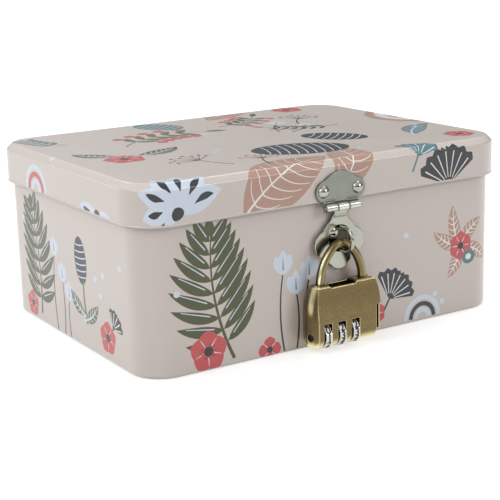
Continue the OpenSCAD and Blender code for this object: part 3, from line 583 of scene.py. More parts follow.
def pod(rx, ry, stripes=6, ink="navy"):
    """Seed pod with level stripes."""
    shapes = [(oval(0, 0, rx, ry, 30), ink)]
    for k in range(stripes):
        y = ry * (-0.8 + 1.6 * (k + 0.5) / stripes)
        half = rx * math.sqrt(1 - (y / ry) ** 2) * 0.9
        shapes.append((stroke(curve((-half, y), (half, y), -0.05, 8), 0.55), "pale"))
    return shapes


def sprig(length, stem, leaf_ink, pairs, leaf, wide, bow, berry=None):
    """Stem with paired leaves, and berries where berry names an ink."""
    shapes = [(stroke(curve((0, 0), (0, length), bow, 14), 0.8, 0.45), stem)]
    for k in range(pairs):
        x, y, lean = along(length, bow, 0.22 + 0.7 * k / pairs)
        for side in (-1, 1):
            shapes += at([(blade(leaf, wide, 0.08 * side, 0.9, 10), leaf_ink)], x, y,
                         lean + side * 50)
            if berry:
                foot = y + 1.5
                fy, fx = polar(1, lean + side * 80)
                stalk = stroke([(x, foot), (x - fx * leaf * 0.9, foot + fy * leaf * 0.9)], 0.4)
                fruit = oval(x - fx * leaf, foot + fy * leaf, wide * 0.62, wide * 0.62, 14)
                shapes += [(stalk, stem), (fruit, berry)]
    return shapes + at([(blade(leaf, wide, 0, 0.9, 10), leaf_ink)], *along(length, bow, 1.0))


def water_lily(r):
    """Big pale flower with a dark drop in each petal."""
    shapes = []
    for turn in range(-84, 85, 28):
        out, side = polar(r * 0.4, -turn)
        shapes += at([(blade(r, r * 0.46, 0.05, 0.95, 16), "pale")], turn=turn)
        shapes += at([(blade(r * 0.42, r * 0.13, 0.1, 1.2, 10), "navy")], side, out, turn)
    return shapes + [(oval(0, 0, r * 0.16, r * 0.12, 16), "navy")]


def umbel(r, rays=9, dots="navy"):
    """Seed head: fine rays from one point, each with a dot."""
    shapes = [(stroke(curve((0, -r * 1.4), (0, 0), 0.06, 8), 0.8, 0.6), "navy")]
    for k in range(rays):
        tip = polar(r * (0.82 + 0.18 * (k % 2)), 20 + 140 * k / (rays - 1))
        shapes += [(stroke([(0, 0), tip], 0.5, 0.3), "navy"), (oval(*tip, 0.9, 0.9, 10), dots)]
    return shapes


def arches(r, inks, gap=1.0):
    """Nested half rings standing on their ends."""
    width = r / (len(inks) + 0.6)
    return [(arc_points(0, 0, r - k * width, 0, 180, 24)
             + arc_points(0, 0, r - k * width - width + gap, 180, 0, 20), ink)
            for k, ink in enumerate(inks)]


def specks(*spots):
    return [(oval(x, y, 1.4, 1.4 * 0.9, 10), "pale") for x, y in spots]


def split(outline, longest=2.0):
    """The same outline with no side longer than this, so that it follows the bends."""
    points = []
    for (ax, ay), (bx, by) in zip(outline, outline[1:] + outline[:1]):
        n = max(1, math.ceil(math.hypot(bx - ax, by - ay) / longest))
        points += [(ax + (bx - ax) * k / n, ay + (by - ay) * k / n) for k in range(n)]
    return points


def inlay(domain, motifs, guides):
    """Cuts a flat domain along every motif and guide line. Gives points, triangles and inks."""
    points, faces, edges = [], [], []
    outlines = [domain] + [split(outline) for outline, _ in motifs]
    for outline in outlines:
        area = sum(ax * by - bx * ay for (ax, ay), (bx, by) in zip(outline, outline[1:] + outline[:1]))
        faces.append(list(range(len(points), len(points) + len(outline))))
        points += [Vector(p) for p in (outline if area > 0 else outline[::-1])]
    inks = ["ground"] + [ink for _, ink in motifs]
    for line in guides:
        edges += [(len(points) + k, len(points) + k + 1) for k in range(len(line) - 1)]
        points += [Vector(p) for p in line]
    v, _, f, _, _, ids = delaunay_2d_cdt(points, edges, faces, 1, 1e-4, True)
    kept = [(face, inks[max(over)]) for face, over in zip(f, ids) if 0 in over]
    used = sorted({k for face, _ in kept for k in face})
    number = {old: new for new, old in enumerate(used)}
    flat = np.array([(p.x, p.y) for p in v])[used]
    return flat, [[number[k] for k in face] for face, _ in kept], [ink for _, ink in kept]


def facing(place, uv, h=0.02):
    """The directions that a sheet faces at points of its flat drawing."""
    du = place(uv + (h, 0)) - place(uv - (h, 0))
    dv = place(uv + (0, h)) - place(uv - (0, h))
    return unit(np.cross(du, dv))


def smooth_path(points, n_bend=7):
    """Path through corner points (x, y, bend radius), with round bends."""
    path = []
    for k, (x, y, r) in enumerate(points):
        if not r or k in (0, len(points) - 1):
            path.append((x, y))
            continue
        here = np.array((x, y), float)
        before, after = (np.array(points[k + d][:2], float) - here for d in (-1, 1))
        before /= np.linalg.norm(before)
        after /= np.linalg.norm(after)
        half = math.acos(np.clip(before @ after, -1, 1)) / 2
        middle = (before + after) / np.linalg.norm(before + after)
        centre = here + middle * r / math.sin(half)
        start = here + before * r / math.tan(half) - centre
        end = here + after * r / math.tan(half) - centre
        sweep = math.acos(np.clip(start @ end / (r * r), -1, 1))
        for i in range(n_bend + 1):
            t = i / n_bend
            arm = (start * math.sin((1 - t) * sweep) + end * math.sin(t * sweep)) / math.sin(sweep)
            path.append(tuple(centre + arm))
    return path


def lengths(path):
    return np.concatenate([[0], np.cumsum(np.hypot(*np.diff(np.array(path), axis=0).T))])


CORNER_STEPS = 16


def ring_xy(hx, hy, r):
    """Points round a rectangle with round corners, anticlockwise from the right side's middle."""
    points = []
    for k, (sx, sy) in enumerate(((1, 1), (-1, 1), (-1, -1), (1, -1))):
        points += arc_points(sx * (hx - r), sy * (hy - r), r, 90 * k, 90 * k + 90, CORNER_STEPS)
    closed = []
    for a, b in zip(points, points[1:] + points[:1]):
        long = math.hypot(b[0] - a[0], b[1] - a[1]) > 3 * math.pi * r / 2 / CORNER_STEPS
        n = 6 if long else 1
        closed += [(a[0] + (b[0] - a[0]) * i / n, a[1] + (b[1] - a[1]) * i / n) for i in range(n)]
    return closed


# Tin sheets: a flat inlaid drawing laid over each outer face, and rings of plain sheet behind it

def strip(a, ka, b, kb):
    """Triangles between two rows of vertex numbers, given rising positions along them."""
    faces = []
    i = j = 0
    while i < len(a) - 1 or j < len(b) - 1:
        if j == len(b) - 1 or (i < len(a) - 1 and ka[i + 1] <= kb[j + 1]):
            faces.append([a[i], a[i + 1], b[j]])
            i += 1
        else:
            faces.append([a[i], b[j + 1], b[j]])
            j += 1
    return faces


def sheet_piece(node, place, inlaid, rings, joins, body, printed_rings):
    """Joins the inlaid face to the rings behind it. joins are (border, positions, spots) of the
    inlay's borders with the first ring and, on the tub, with the last."""
    flat, faces, inks = inlaid
    count, size = len(flat), len(rings[0]) - 1
    verts = np.concatenate([place(flat)] + [r[:-1] for r in rings])
    stack = np.array(rings)
    around = np.concatenate([stack[:, 1:2] - stack[:, -2:-1], stack[:, 2:] - stack[:, :-2]], 1)
    leans = np.cross(around, np.gradient(stack, axis=0)[:, :-1]).reshape(-1, 3)
    leans = np.concatenate([facing(place, flat), leans])
    number = [[count + k * size + i % size for i in range(size + 1)] for k in range(len(rings))]
    colours = [INKS[ink] for ink in inks]
    for (border, positions, spots), row in zip(joins, (number[0], number[-1])):
        faces += strip(border, positions, row, spots)
    index = [0] * len(faces)
    for k in range(len(rings) - 1):
        faces += [[number[k][i], number[k][i + 1], number[k + 1][i + 1], number[k + 1][i]]
                  for i in range(size)]
        index += [0 if k < printed_rings else 1] * size
    if len(joins) == 1:
        faces.append(number[-1][:-1])
        index.append(1)
    colours += [INKS["ground"]] * (len(faces) - len(colours))
    bm = bmesh.new()
    paint_layer = bm.loops.layers.float_color.new("print")
    lean_layer = bm.verts.layers.float_vector.new("lean")
    made = [bm.verts.new(v * MM) for v in verts]
    for vert, lean in zip(made, leans):
        vert[lean_layer] = lean
    for face, colour, material in zip(faces, colours, index):
        try:
            f = bm.faces.new([made[k] for k in face])
        except ValueError:
            continue
        f.material_index, f.smooth = material, True
        for corner in f.loops:
            corner[paint_layer] = colour
    bmesh.ops.remove_doubles(bm, verts=bm.verts, dist=1e-7)
    bmesh.ops.recalc_face_normals(bm, faces=bm.faces)
    me = bpy.data.meshes.new(node + "_visible")
    bm.to_mesh(me)
    bm.free()
    me.materials.append(TIN)
    me.materials.append(BARE)
    lean = np.empty(len(me.vertices) * 3, np.float32)
    rough = lean.copy()
    me.attributes["lean"].data.foreach_get("vector", lean)
    me.vertices.foreach_get("normal", rough)
    lean, rough = lean.reshape(-1, 3), rough.reshape(-1, 3)
    agree = (lean * rough).sum(1) / np.maximum(np.linalg.norm(lean, axis=1), 1e-12)
    lean = np.where(np.abs(agree[:, None]) > 0.6, lean * np.sign(agree)[:, None], rough)
    me.attributes.remove(me.attributes["lean"])
    me.normals_split_custom_set_from_vertices(lean.tolist())
    piece(me, node, body)


# Lid
EDGE_INSET = 3.2
CORE = np.array((LID_W / 2 - EDGE_INSET, LID_D / 2 - EDGE_INSET))
CORE_R = LID_CORNER_R - EDGE_INSET
HEM_R, HEM_OUT, HEM_Z = 0.55, 2.9, SKIRT_Z + 0.55
LID_PATH = smooth_path([(0, BOX_H, 0), (0.8, BOX_H, 1.4), (EDGE_INSET, BOX_H - 2.4, 1.4),
                        (EDGE_INSET, HEM_Z + 0.46, 0)])
LID_T = lengths(LID_PATH)


def lid_frame(uv):
    """Points on the lid's inner corner arcs' middles, the ways out from them, and how far out."""
    q = np.clip(uv, CORE_R - CORE, CORE - CORE_R)
    return q, unit(uv - q), np.linalg.norm(uv - q, axis=1)


def lid_place(uv):
    q, n, dist = lid_frame(uv)
    t = dist - CORE_R
    out, z = np.array(LID_PATH).T
    reach = np.where(t <= 0, dist, CORE_R + np.interp(t, LID_T, out))
    return np.column_stack([q + n * reach[:, None], np.interp(t, LID_T, z)])


def lid_ring(t):
    return ring_xy(*(CORE + t), CORE_R + t)


def lid_guides():
    """Lines that every bend of the lid's sheet is cut along."""
    guides = []
    for t in LID_T[:-1]:
        ring = lid_ring(t)
        guides.append(ring + ring[:1])
    for sx, sy, start in ((1, 1, 0), (-1, 1, 90), (-1, -1, 180), (1, -1, 270)):
        cx, cy = (CORE - CORE_R) * (sx, sy)
        arcs = [arc_points(cx, cy, r, start, start + 90, CORNER_STEPS)
                for r in (CORE_R, CORE_R + LID_T[-1])]
        guides += [list(spoke) for spoke in zip(*arcs)]
    return guides


def lid_motifs():
    """The lid's own drawing, in millimetres on its flat sheet."""
    m = []
    m += at(arches(24, ["tan", "white", "tan", "coral"]), 99, 6, 90)
    m += at(ribbed_leaf(52, 26, "tan", 7, 0.10), -44, -86, -58)
    m += at(ribbed_leaf(40, 19, "tan", 6, -0.10), -2, -80, -22)
    m += at(pod(13, 21, 9), 2, -38, 72)
    m += at(pod(9, 15, 7), 31, -22, 40)
    m += at(sprig(48, "olive", "moss", 5, 11, 4.4, 0.16, "coral"), -52, 14, -74)
    m += at(sprig(34, "olive", "olive", 4, 9, 3.4, -0.12, "coral"), 6, 34, -60)
    m += at(umbel(12), -44, -34, 24)
    m += at(umbel(9, 8, "coral"), -22, -46, -18)
    m += at(umbel(11), 48, 30, -34)
    m += at(fan(17), 57, -84, 8)
    m += at(fan(12, 56, 5, "teal", "pale"), 40, -70, -24)
    m += at(ribbed_leaf(30, 11, "teal", 6, 0.12), 62, -40, -50)
    m += at(poppy(9), -66, -12)
    m += at(poppy(7, 6), 76, -52)
    m += at(ribbed_leaf(24, 9, "olive", 5, -0.1), -58, -8, -70)
    m += at(ribbed_leaf(20, 8, "olive", 5, 0.1), -66, -4, 40)
    m += at(tulip(22, 5), 20, 4, -30)
    m += at(tulip(18, 4.4, -0.08), 24, 0, -52)
    m += at(water_lily(21), -74, -78, 14)
    m += at(water_lily(15), -104, -34, 78)
    m += at(arches(11, ["pale", "coral", "pale"]), -104, 24, -90)
    m += at(sprig(30, "moss", "teal", 5, 7, 3.2, 0.1), -70, 34, 20)
    m += at(sprig(34, "navy", "olive", 6, 7, 2.4, 0.14), 52, 4, 64)
    m += at(pod(8, 13, ink="teal"), -16, 52, 30)
    m += at(fan(15), -30, 82, 176)
    m += at(ribbed_leaf(44, 21, "tan", 7, 0.1), 40, 88, 140)
    m += at(poppy(8), 60, 58)
    m += at(water_lily(14), 84, 78, -140)
    m += at(tulip(20, 5), -84, 60, 30)
    return m + specks((-30, -22), (-26, -18), (22, -52), (74, -24), (78, -20), (-10, 20),
                      (66, 40), (-88, 10), (14, -88), (86, -78), (92, -84))


def build_lid():
    end = LID_T[-1]
    ring = lid_ring(end)
    inlaid = inlay(ring, lid_motifs(), lid_guides())
    flat = inlaid[0]
    border = np.flatnonzero(lid_frame(flat)[2] > CORE_R + end - 1e-3)

    def by_angle(points):
        angle = np.arctan2(points[:, 1], points[:, 0])
        return np.argsort(angle), np.sort(angle).tolist()

    order, angle = by_angle(np.array(ring))
    border_order, turn = by_angle(flat[border])
    border = border[border_order].tolist()
    q, n, _ = lid_frame(np.array(ring)[order])
    hem = [(HEM_OUT + x, HEM_Z + z) for x, z in (polar(HEM_R, a) for a in np.linspace(40, -250, 20))]
    inner = smooth_path([(EDGE_INSET - SHEET_T, HEM_Z + 1, 0),
                         (EDGE_INSET - SHEET_T, BOX_H - 2.566, 1.0),
                         (0.634, BOX_H - SHEET_T, 1.0), (-3, BOX_H - SHEET_T, 0)], 5)
    rings = []
    for out, z in hem + inner:
        ring = np.column_stack([q + n * (CORE_R + out), np.full(len(q), z)])
        rings.append(np.concatenate([ring, ring[:1]]))
    closed = 2 * math.pi
    join = (border + border[:1], turn + [turn[0] + closed], angle + [angle[0] + closed])
    sheet_piece("lid_shell", lid_place, inlaid, rings, [join], "lid", len(hem) - 7)


# Tub: s runs round the wall from the middle of the front, t runs up from the lip
HALF_FRONT = TUB_W / 2 - TUB_CORNER_R
HALF_SIDE = TUB_D / 2 - TUB_CORNER_R
CORNER_L = TUB_CORNER_R * math.pi / 2
BREAKS = np.cumsum([HALF_FRONT, CORNER_L, 2 * HALF_SIDE, CORNER_L, HALF_FRONT])
HALF_ROUND = BREAKS[-1]
TUB_PATH = smooth_path([(BASE_BEND_R + 0.1, 0, 0), (0, 0, BASE_BEND_R), (0, CURL_Z, 0)], 6)
TUB_T = lengths(TUB_PATH)
SEAM_LINES = [HALF_ROUND - d for d in (3.0, 2.75, 2.5)]


def tub_frame(s):
    """Middles of the tub's corner arcs, or the wall's line inside it, and the ways out of it."""
    a = np.abs(s)
    heading = (-math.pi / 2 + np.clip((a - BREAKS[0]) / TUB_CORNER_R, 0, math.pi / 2)
               + np.clip((a - BREAKS[2]) / TUB_CORNER_R, 0, math.pi / 2))
    x = np.minimum(a, HALF_FRONT) - np.maximum(a - BREAKS[3], 0)
    y = -HALF_SIDE + np.clip(a - BREAKS[1], 0, 2 * HALF_SIDE)
    sign = np.sign(s)
    return np.stack([x * sign, y], 1), np.stack([np.cos(heading) * sign, np.sin(heading)], 1)


def tub_point(s, inset, z):
    """Places on the wall, which stands out a little beside its lock seam."""
    c, n = tub_frame(s)
    n[s == 0] = (0, -1)
    seam = ease(np.abs(s), SEAM_LINES[0], SEAM_LINES[2]) * ease(z, 4, 5) * (1 - ease(z, 68, 70))
    outside = ease(inset, 0.2, 0)
    reach = TUB_CORNER_R - inset + 0.4 * seam * outside
    return np.column_stack([c + n * reach[:, None], z])


def tub_place(uv):
    inset, z = np.array(TUB_PATH).T
    return tub_point(uv[:, 0], np.interp(uv[:, 1], TUB_T, inset), np.interp(uv[:, 1], TUB_T, z))


def tub_stops():
    """Places round the wall that every ring has a point at."""
    stops = [0.0]
    ends = [0, *BREAKS[:4], SEAM_LINES[0]]
    for first, last, n in zip(ends, ends[1:], (6, CORNER_STEPS, 8, CORNER_STEPS, 6)):
        stops += [first + (last - first) * k / n for k in range(1, n + 1)]
    stops += SEAM_LINES[1:] + [HALF_ROUND]
    return [-s for s in stops[:0:-1]] + stops


def meadow():
    """One long side's worth of drawing, about its middle."""
    m = []
    m += at(frond(50, 38, 9, 0.07), -50, 7, 10)
    m += at(poppy(8.5), -61, 9)
    m += at(poppy(5.5, 4), -33, 4)
    for x, height, bow in ((-26, 33, 0.05), (-20, 24, -0.05), (-13.5, 29, 0.07), (-9, 15, 0.05)):
        m += at(tulip(height, 5.2, bow), x, 2)
    m += at(fan(13), 27, 14, -32)
    m += at(poppy(5, 6), 20, 9)
    m += at(arches(10, ["pale", "navy", "pale"], 0.8), 45, 2.6)
    for turn, length in ((62, 17), (14, 19), (-46, 16), (-118, 18), (152, 15)):
        m += at(ribbed_leaf(length, 6.4, "tan", 5, 0.08), 66, 31, turn)
    m += at(poppy(6.4, 6), 66, 31)
    m += [(oval(70.5, 25.5, 3.6, 3.2, 18), "teal"), (oval(70.5, 25.5, 1.6, 1.4, 14), "white")]
    return m + specks((36, 40), (52, 12), (56, 8), (-74, 34), (-2, 44), (5, 40))


def gable(lift=0.0):
    """One short side's worth of drawing, about its middle."""
    m = []
    m += at(frond(46, 32, 8, -0.06), -32, 8 + lift, 6)
    m += at(poppy(6), -41, 8)
    for x, height, bow in ((-15, 34, 0.05), (-8, 24, -0.04), (-2, 17, 0.06)):
        m += at(tulip(height, 4.6, bow), x, 2)
    m += at(pod(5.4, 10), 11, 38, 6)
    m += at([(stroke(curve((0, -26), (0, -8), 0.05, 8), 1.6, 1.2), "moss")], 12, 38, 6)
    m += at(ribbed_leaf(15, 6, "moss", 4, 0.1), 13, 16, 58)
    m += at(ribbed_leaf(15, 6, "moss", 4, -0.1), 13, 14, -56)
    m += at(fan(8, 58, 5), 38, 16, -36)
    m += at(poppy(7), 33, 11)
    return m + specks((24, 33), (28, 27), (31, 36), (46, 42), (-46, 46))


def build_tub():
    side_middle = (BREAKS[1] + BREAKS[2]) / 2
    motifs = (meadow() + at(gable(), -side_middle) + at(gable(2), side_middle)
              + [shape for quarter in (-1, 1) for shape in
                 at(meadow(), quarter * HALF_ROUND)
                 if all(abs(x) < HALF_ROUND - 6 for x, _ in shape[0])])
    top = TUB_T[-1]
    stops = tub_stops()
    domain = ([(s, 0.0) for s in stops] + [(s, top) for s in stops[::-1]])
    guides = [[(s, t) for s in stops] for t in TUB_T[1:-1]]
    guides += [[(s, 0.0), (s, top)] for s in stops[1:-1]]
    inlaid = inlay(domain, motifs, guides)
    flat = inlaid[0]
    curl = [(CURL_R + x, CURL_Z + z)
            for r, way in ((CURL_R, (165, -90)), (CURL_R - SHEET_T, (-90, 180)))
            for x, z in (polar(r, a) for a in np.linspace(*way, 14))]
    lip = BASE_BEND_R + BASE_LIP
    inner = smooth_path([(SHEET_T, CURL_Z - 3, 0), (SHEET_T, SHEET_T, BASE_BEND_R - SHEET_T),
                         (lip, SHEET_T, 0), (lip, 0, 0)], 5)
    s = np.array(stops)
    rings = [tub_point(s, np.full(len(s), inset), np.full(len(s), z)) for inset, z in curl + inner]
    for ring in rings:
        ring[-1] = ring[0]
    joins = []
    for t in (top, 0.0):
        row = np.flatnonzero(np.abs(flat[:, 1] - t) < 1e-3)
        row = row[np.argsort(flat[row, 0])]
        joins.append((row.tolist(), flat[row, 0].tolist(), stops))
    sheet_piece("tub_wall", tub_place, inlaid, rings, joins, "box", 6)


build_lid()
build_tub()


# Hasp: pressed and plated sheet with rolled knuckles

def rolled(p, x0, x1, y):
    """Knuckle along x with its bore, and the line where the sheet's end closes on itself."""
    px, py, pz = xyz(p)
    round_ = np.hypot(py - y, pz - AXIS_Z)
    roll = both(round_ - KNUCKLE_R, slab(px - (x0 + x1) / 2, (x1 - x0) / 2), 0.2)
    lip = math.radians(118 if y > 0 else 62)
    crease = np.hypot(py - y - math.cos(lip) * KNUCKLE_R * 1.02,
                      pz - AXIS_Z - math.sin(lip) * KNUCKLE_R * 1.02)
    return both(roll, 0.22 - crease, 0.1), BORE_R - round_


def plate_outline(x, z):
    ear = np.hypot(np.abs(x) - 7.8, z - SKIRT_Z - EAR_UP) - 4.2
    hump = np.maximum(np.hypot(x, z - SKIRT_Z - 0.8) - 11.2, SKIRT_Z + EAR_UP - z)
    base = box2(x, z - SKIRT_Z - 2.1, 8.4, 2.3, 0.6)
    return np.maximum(either(either(ear, hump, 0.7), base, 0.6), SKIRT_Z - 0.2 - z)


def hasp_plate(p):
    x, y, z = xyz(p)
    sheet = slab(y + PLATE_Y + PLATE_T / 2, PLATE_T / 2)
    plate = both(plate_outline(x, z), sheet, 0.22)
    neck = both(box2(np.abs(x) - 5.6, z - 58.8, 2.8, 1.6, 0.2), sheet, 0.15)
    roll, bore = rolled(np.stack([np.abs(x), y, z], -1), 2.8, 8.4, -AXIS_Y)
    body = either(either(plate, neck, 0.15), roll, 0.15)
    holes = 1.25 - np.hypot(np.abs(x) - HASP_RIVET_X, z - SKIRT_Z - EAR_UP)
    return both(both(body, bore, 0.1), holes)


def leaf_outline(x, z):
    neck = box2(x, z - 52, 3, 8, 0.3)
    shoulder = np.hypot(x, z - STAPLE_MID - 0.2) - 8.6
    lobe = np.hypot(np.abs(x) - 6.6, z - STAPLE_MID + 1.8) - 5.6
    tongue = np.hypot(x, z - 36.4) - 5.2
    web = box2(x, z - 37.4, 5.4, 3.2, 0.5)
    shape = either(either(either(neck, shoulder, 2.4), lobe, 0.5), web, 1.2)
    return either(shape, tongue, 1.0)


def hasp_leaf(p):
    x, y, z = xyz(p)
    middle = -LEAF_Y - PLATE_T / 2 - (PLATE_Y - LEAF_Y) * ease(z, 52.5, 55.2)
    sheet = slab(y - middle, PLATE_T / 2)
    leaf = both(leaf_outline(x, z), sheet, 0.3)
    leaf = both(leaf, 5.45 - np.hypot(x, z - STAPLE_MID), 0.2)
    leaf = np.maximum(leaf, z - AXIS_Z)
    roll, bore = rolled(p, -2.6, 2.6, -AXIS_Y)
    return both(either(leaf, roll, 0.15), bore, 0.1)


carve("hasp_plate", hasp_plate, (-12.1, -71.3, 55.6), (12.1, -67.9, 71.6), 0.2, SATIN_SHADED, "lid",
      wear=cut_rims(59.6, 80))
carve("hasp_leaf", hasp_leaf, (-12.3, -71.3, 31.1), (12.3, -66.7, 59.0), 0.2, NICKEL, "hasp_leaf",
      wear=cut_rims(0, 52.5))

turned("hasp_rivets", dome_profile(5.1, 1.8, 1.25, 1.45, 0.5), (0, -PLATE_Y - PLATE_T, 63.9),
       (0, -1, 0), BRIGHT, "lid", spots=((-HASP_RIVET_X, 0, 0), (HASP_RIVET_X, 0, 0)))
turned("hasp_pin", [(0, 0), (0.6, 0), (0.8, 0.2), (0.8, 16.8), (0.6, 17.0), (0, 17.0)],
       (-8.5, -AXIS_Y, AXIS_Z), (1, 0, 0), STEEL, "lid")


# Staple

def staple_loop(p):
    x, y, z = xyz(p)
    dz = np.abs(z - STAPLE_MID)
    bend_y, inner_y = LOCK_Y - 0.65, -WALL_Y + SHEET_T + 0.6 + WIRE_R
    legs = np.hypot(np.hypot(x, dz - STAPLE_H / 2), np.maximum(y - inner_y, 0)
                    + np.minimum(y - bend_y, 0)) - WIRE_R
    loop = np.hypot(x, np.hypot(y - bend_y, z - STAPLE_MID) - STAPLE_H / 2) - WIRE_R
    wire = np.where(y < bend_y, loop, legs)
    for centre in (STAPLE_Z - 1.6, STAPLE_Z + STAPLE_H + 1.6):
        wire = either(wire, np.hypot(np.hypot(x, y - inner_y), np.maximum(np.abs(z - centre) - 1.6, 0))
                      - WIRE_R, 0.3)
    return wire


def staple_plate(p):
    """The plate, with the boss that shows in the leaf's slot."""
    x, y, z = xyz(p)
    outline = bar2(x, z, (0, STAPLE_Z), (0, STAPLE_Z + STAPLE_H)) - 4.6
    sheet = both(outline, slab(y + WALL_Y + 0.3, 0.3), 0.2)
    boss = np.sqrt((x + 1.9) ** 2 + (y + WALL_Y - 1.4) ** 2 + (z - 46.4) ** 2) - 3.3
    sheet = either(sheet, both(boss, y + WALL_Y, 0.1), 0.3)
    holes = 0.85 - np.hypot(x, np.abs(z - STAPLE_MID) - STAPLE_H / 2)
    return both(sheet, holes)


# Painted shade on the staple plate's flat inside the leaf's slot; its boss stays a little lighter.
def boss_wear(p, normals, bend):
    return 0.15 - 1.1 * ease(p[:, 1], -66.8, -66.2)


carve("staple_loop", staple_loop, (-0.9, -77.3, 35.4), (0.9, -62.7, 53), 0.17, NICKEL, "box")
carve("staple_plate", staple_plate, (-4.8, -67.3, 34.9), (4.8, -65.4, 53.1), 0.16, NICKEL, "box",
      wear=boss_wear)


# Padlock, drawn about its own middle and moved to its place

HALF_T = CASE_T / 2
CASE_MID, CASE_HALF_W, RECESS_X = 0.6, 18.05, 13.9
PARTING_Y = 3.0
LOCK_PLACE = (LOCK_X, LOCK_Y, 0)


def case_body(p, inset=0.0):
    """Outer form of the case: round ends whose flanks turn to the front, a thinner top and a full
    round lower edge."""
    x, y, z = xyz(p)
    h = z - CASE_Z0
    side = np.abs(x - CASE_MID) - CASE_HALF_W + 1.8 * np.clip((h - 14) / 10, 0, 1.25) ** 2
    thin = np.clip((h - 10) / (CASE_H - 10), 0, 1)
    front = np.abs(y) - HALF_T + (CASE_T - CASE_TOP_T) / 2 * thin ** 2
    top, bottom = z - CASE_Z1, CASE_Z0 - z
    outline = both(both(side, top, 3.6 + 0.4 * np.clip(y, -5, 5)), bottom, 4.0)
    section = both(both(front, top, 1.3), bottom, 4.8)
    shape = both(outline, section, 1.4)
    flank = 0.866 * side + 0.5 * (np.abs(y) - 1.0)
    return both(shape, both(side, flank, 3.0), 0.2) + inset


def case_half(p, facing_front):
    """One half of the case: the shell with its lining, less all that is cut out of it."""
    x, y, z = xyz(p)
    z = z - CASE_Z0
    outer = case_body(p)
    shell = both(outer, -(outer + 1.2), 0.1)
    recess_top, window_top, slot_floor, leg_floor = 14.5, 10.5, 17, 12
    wheel_r, wheel_half, slot_half = 5.4, 1.85, 2.0
    lining = both(both(outer + 0.1, RECESS_X - 1.2 - x), box2(y, z - 8, 20, 7.9, 0.2))
    lining = both(lining, -both(slab(y, 3.7), slab(z - BUTTON_UP, 5.0), 0.3))
    shell = np.minimum(shell, lining)
    recess = both(RECESS_X - x, z - recess_top, 0.8)
    notch = both(slab(x + 1.4, 7.4 - (CASE_H - z) * 0.9), CASE_H - 1.6 - z, 0.3)
    cuts = [(recess, 0.35), (notch, 0.2)]
    dial_z = DIAL_Z - CASE_Z0
    for at_x in DIAL_XS:
        beside_dial = slab(x - at_x, wheel_half)
        wheel = both(np.hypot(y - DIAL_Y, z - dial_z) - wheel_r, beside_dial, 0.1)
        window = both(both(beside_dial, y - DIAL_Y), z - window_top, 0.5)
        cuts.append((np.minimum(wheel, window), 0.25))
    slot = slab(y, slot_half)
    swing = both(both(slot, slab(x - SHACKLE_X, slot_half), 0.2), slot_floor - z)
    beyond = both(both(slot, slot_floor - z), 8.4 - x)
    swing = np.minimum(swing, both(beyond, np.where(x > 0, -1.0, 1.0)))
    free_leg = both(np.hypot(x + SHACKLE_X, y) - 2.1, leg_floor - z)
    bore = both(np.hypot(x - SHACKLE_X, z - PIVOT_UP) - 0.9, both(-y - 2.9, y - 20))
    pin_hole = both(np.hypot(y - DIAL_Y, z - dial_z) - 1.58, x + 12)
    for hole, r in cuts + [(swing, 0.2), (free_leg, 0.3), (bore, 0.0), (pin_hole, 0.2)]:
        shell = both(shell, -hole, r)
    apart = y - PARTING_Y
    return both(shell, apart + 0.02 if facing_front else 0.02 - apart, 0.16)


def case_wear(p, normals, bend):
    """Wear and painted light: rubbed wear and painted highlights on edges with patina in hollows, a
    painted highlight line with a dark painted reflection beside it down the round ends, brightest near
    their top, and a painted reflection of the floor on the foot."""
    x, y, z = xyz(p)
    facing_side = ease(-normals[:, 1], 0.97, 0.8)
    end = ease(np.abs(x), 12, 14) * facing_side
    # Painted highlight down the round ends, and beside it a dark painted reflection.
    painted_highlight = np.exp(-((y + 1.7) / 0.95) ** 2) * ease(z, 15, 20)
    dark = ease(y, -2.6, -3.4) * ease(z, 3, 6) * (0.5 + 0.5 * ease(z, 10, 18)) * (bend < 0.9)
    edge_wear_sheen_and_patina = np.where(bend > 0.9, np.clip(bend * 0.4, 0, 0.6), np.minimum(bend, 0) * 0.9)
    edge_wear_sheen_and_patina = np.where(bend > 0, edge_wear_sheen_and_patina * ease(np.abs(normals[:, 0]), 0.95, 0.6), edge_wear_sheen_and_patina)
    # Painted reflection of the floor, brightening the foot.
    foot = 1.5 * ease(z, CASE_Z0 + 5.5, CASE_Z0 + 0.5) ** 1.4
    return edge_wear_sheen_and_patina + end * (2.9 * painted_highlight + 0.1 - 0.6 * dark) + foot


for front, node, y0, y1 in ((True, "lock_front_shell", -HALF_T, PARTING_Y),
                            (False, "lock_back_shell", PARTING_Y, HALF_T)):
    carve(node, lambda p, front=front: case_half(p, front), (-17.6, y0 - 0.1, CASE_Z0 - 0.1),
          (18.8, y1 + 0.1, CASE_Z1 + 0.1), 0.24, BRASS, "lock_case", LOCK_PLACE, case_wear)


# Shackle: the solids' own arch, as one smooth bar

def shackle_path():
    leg_top, crown_z, crown_r = 27.0, 37.0, 6.0
    leg_end, pivot = CASE_Z0 + 16.3, CASE_Z0 + PIVOT_UP
    rise = crown_z - leg_top
    side_r = (SHACKLE_X ** 2 + rise ** 2 - crown_r ** 2) / (2 * (SHACKLE_X - crown_r))
    side_a = math.degrees(math.acos((side_r - SHACKLE_X) / (side_r - crown_r)))
    return ([(-SHACKLE_X, leg_end)]
            + arc_points(side_r - SHACKLE_X, leg_top, side_r, 180, 180 - side_a, 14)
            + arc_points(0, crown_z, crown_r, 180 - side_a, side_a, 14)
            + arc_points(SHACKLE_X - side_r, leg_top, side_r, side_a, 0, 14) + [(SHACKLE_X, pivot)])


SHACKLE_PATH = shackle_path()


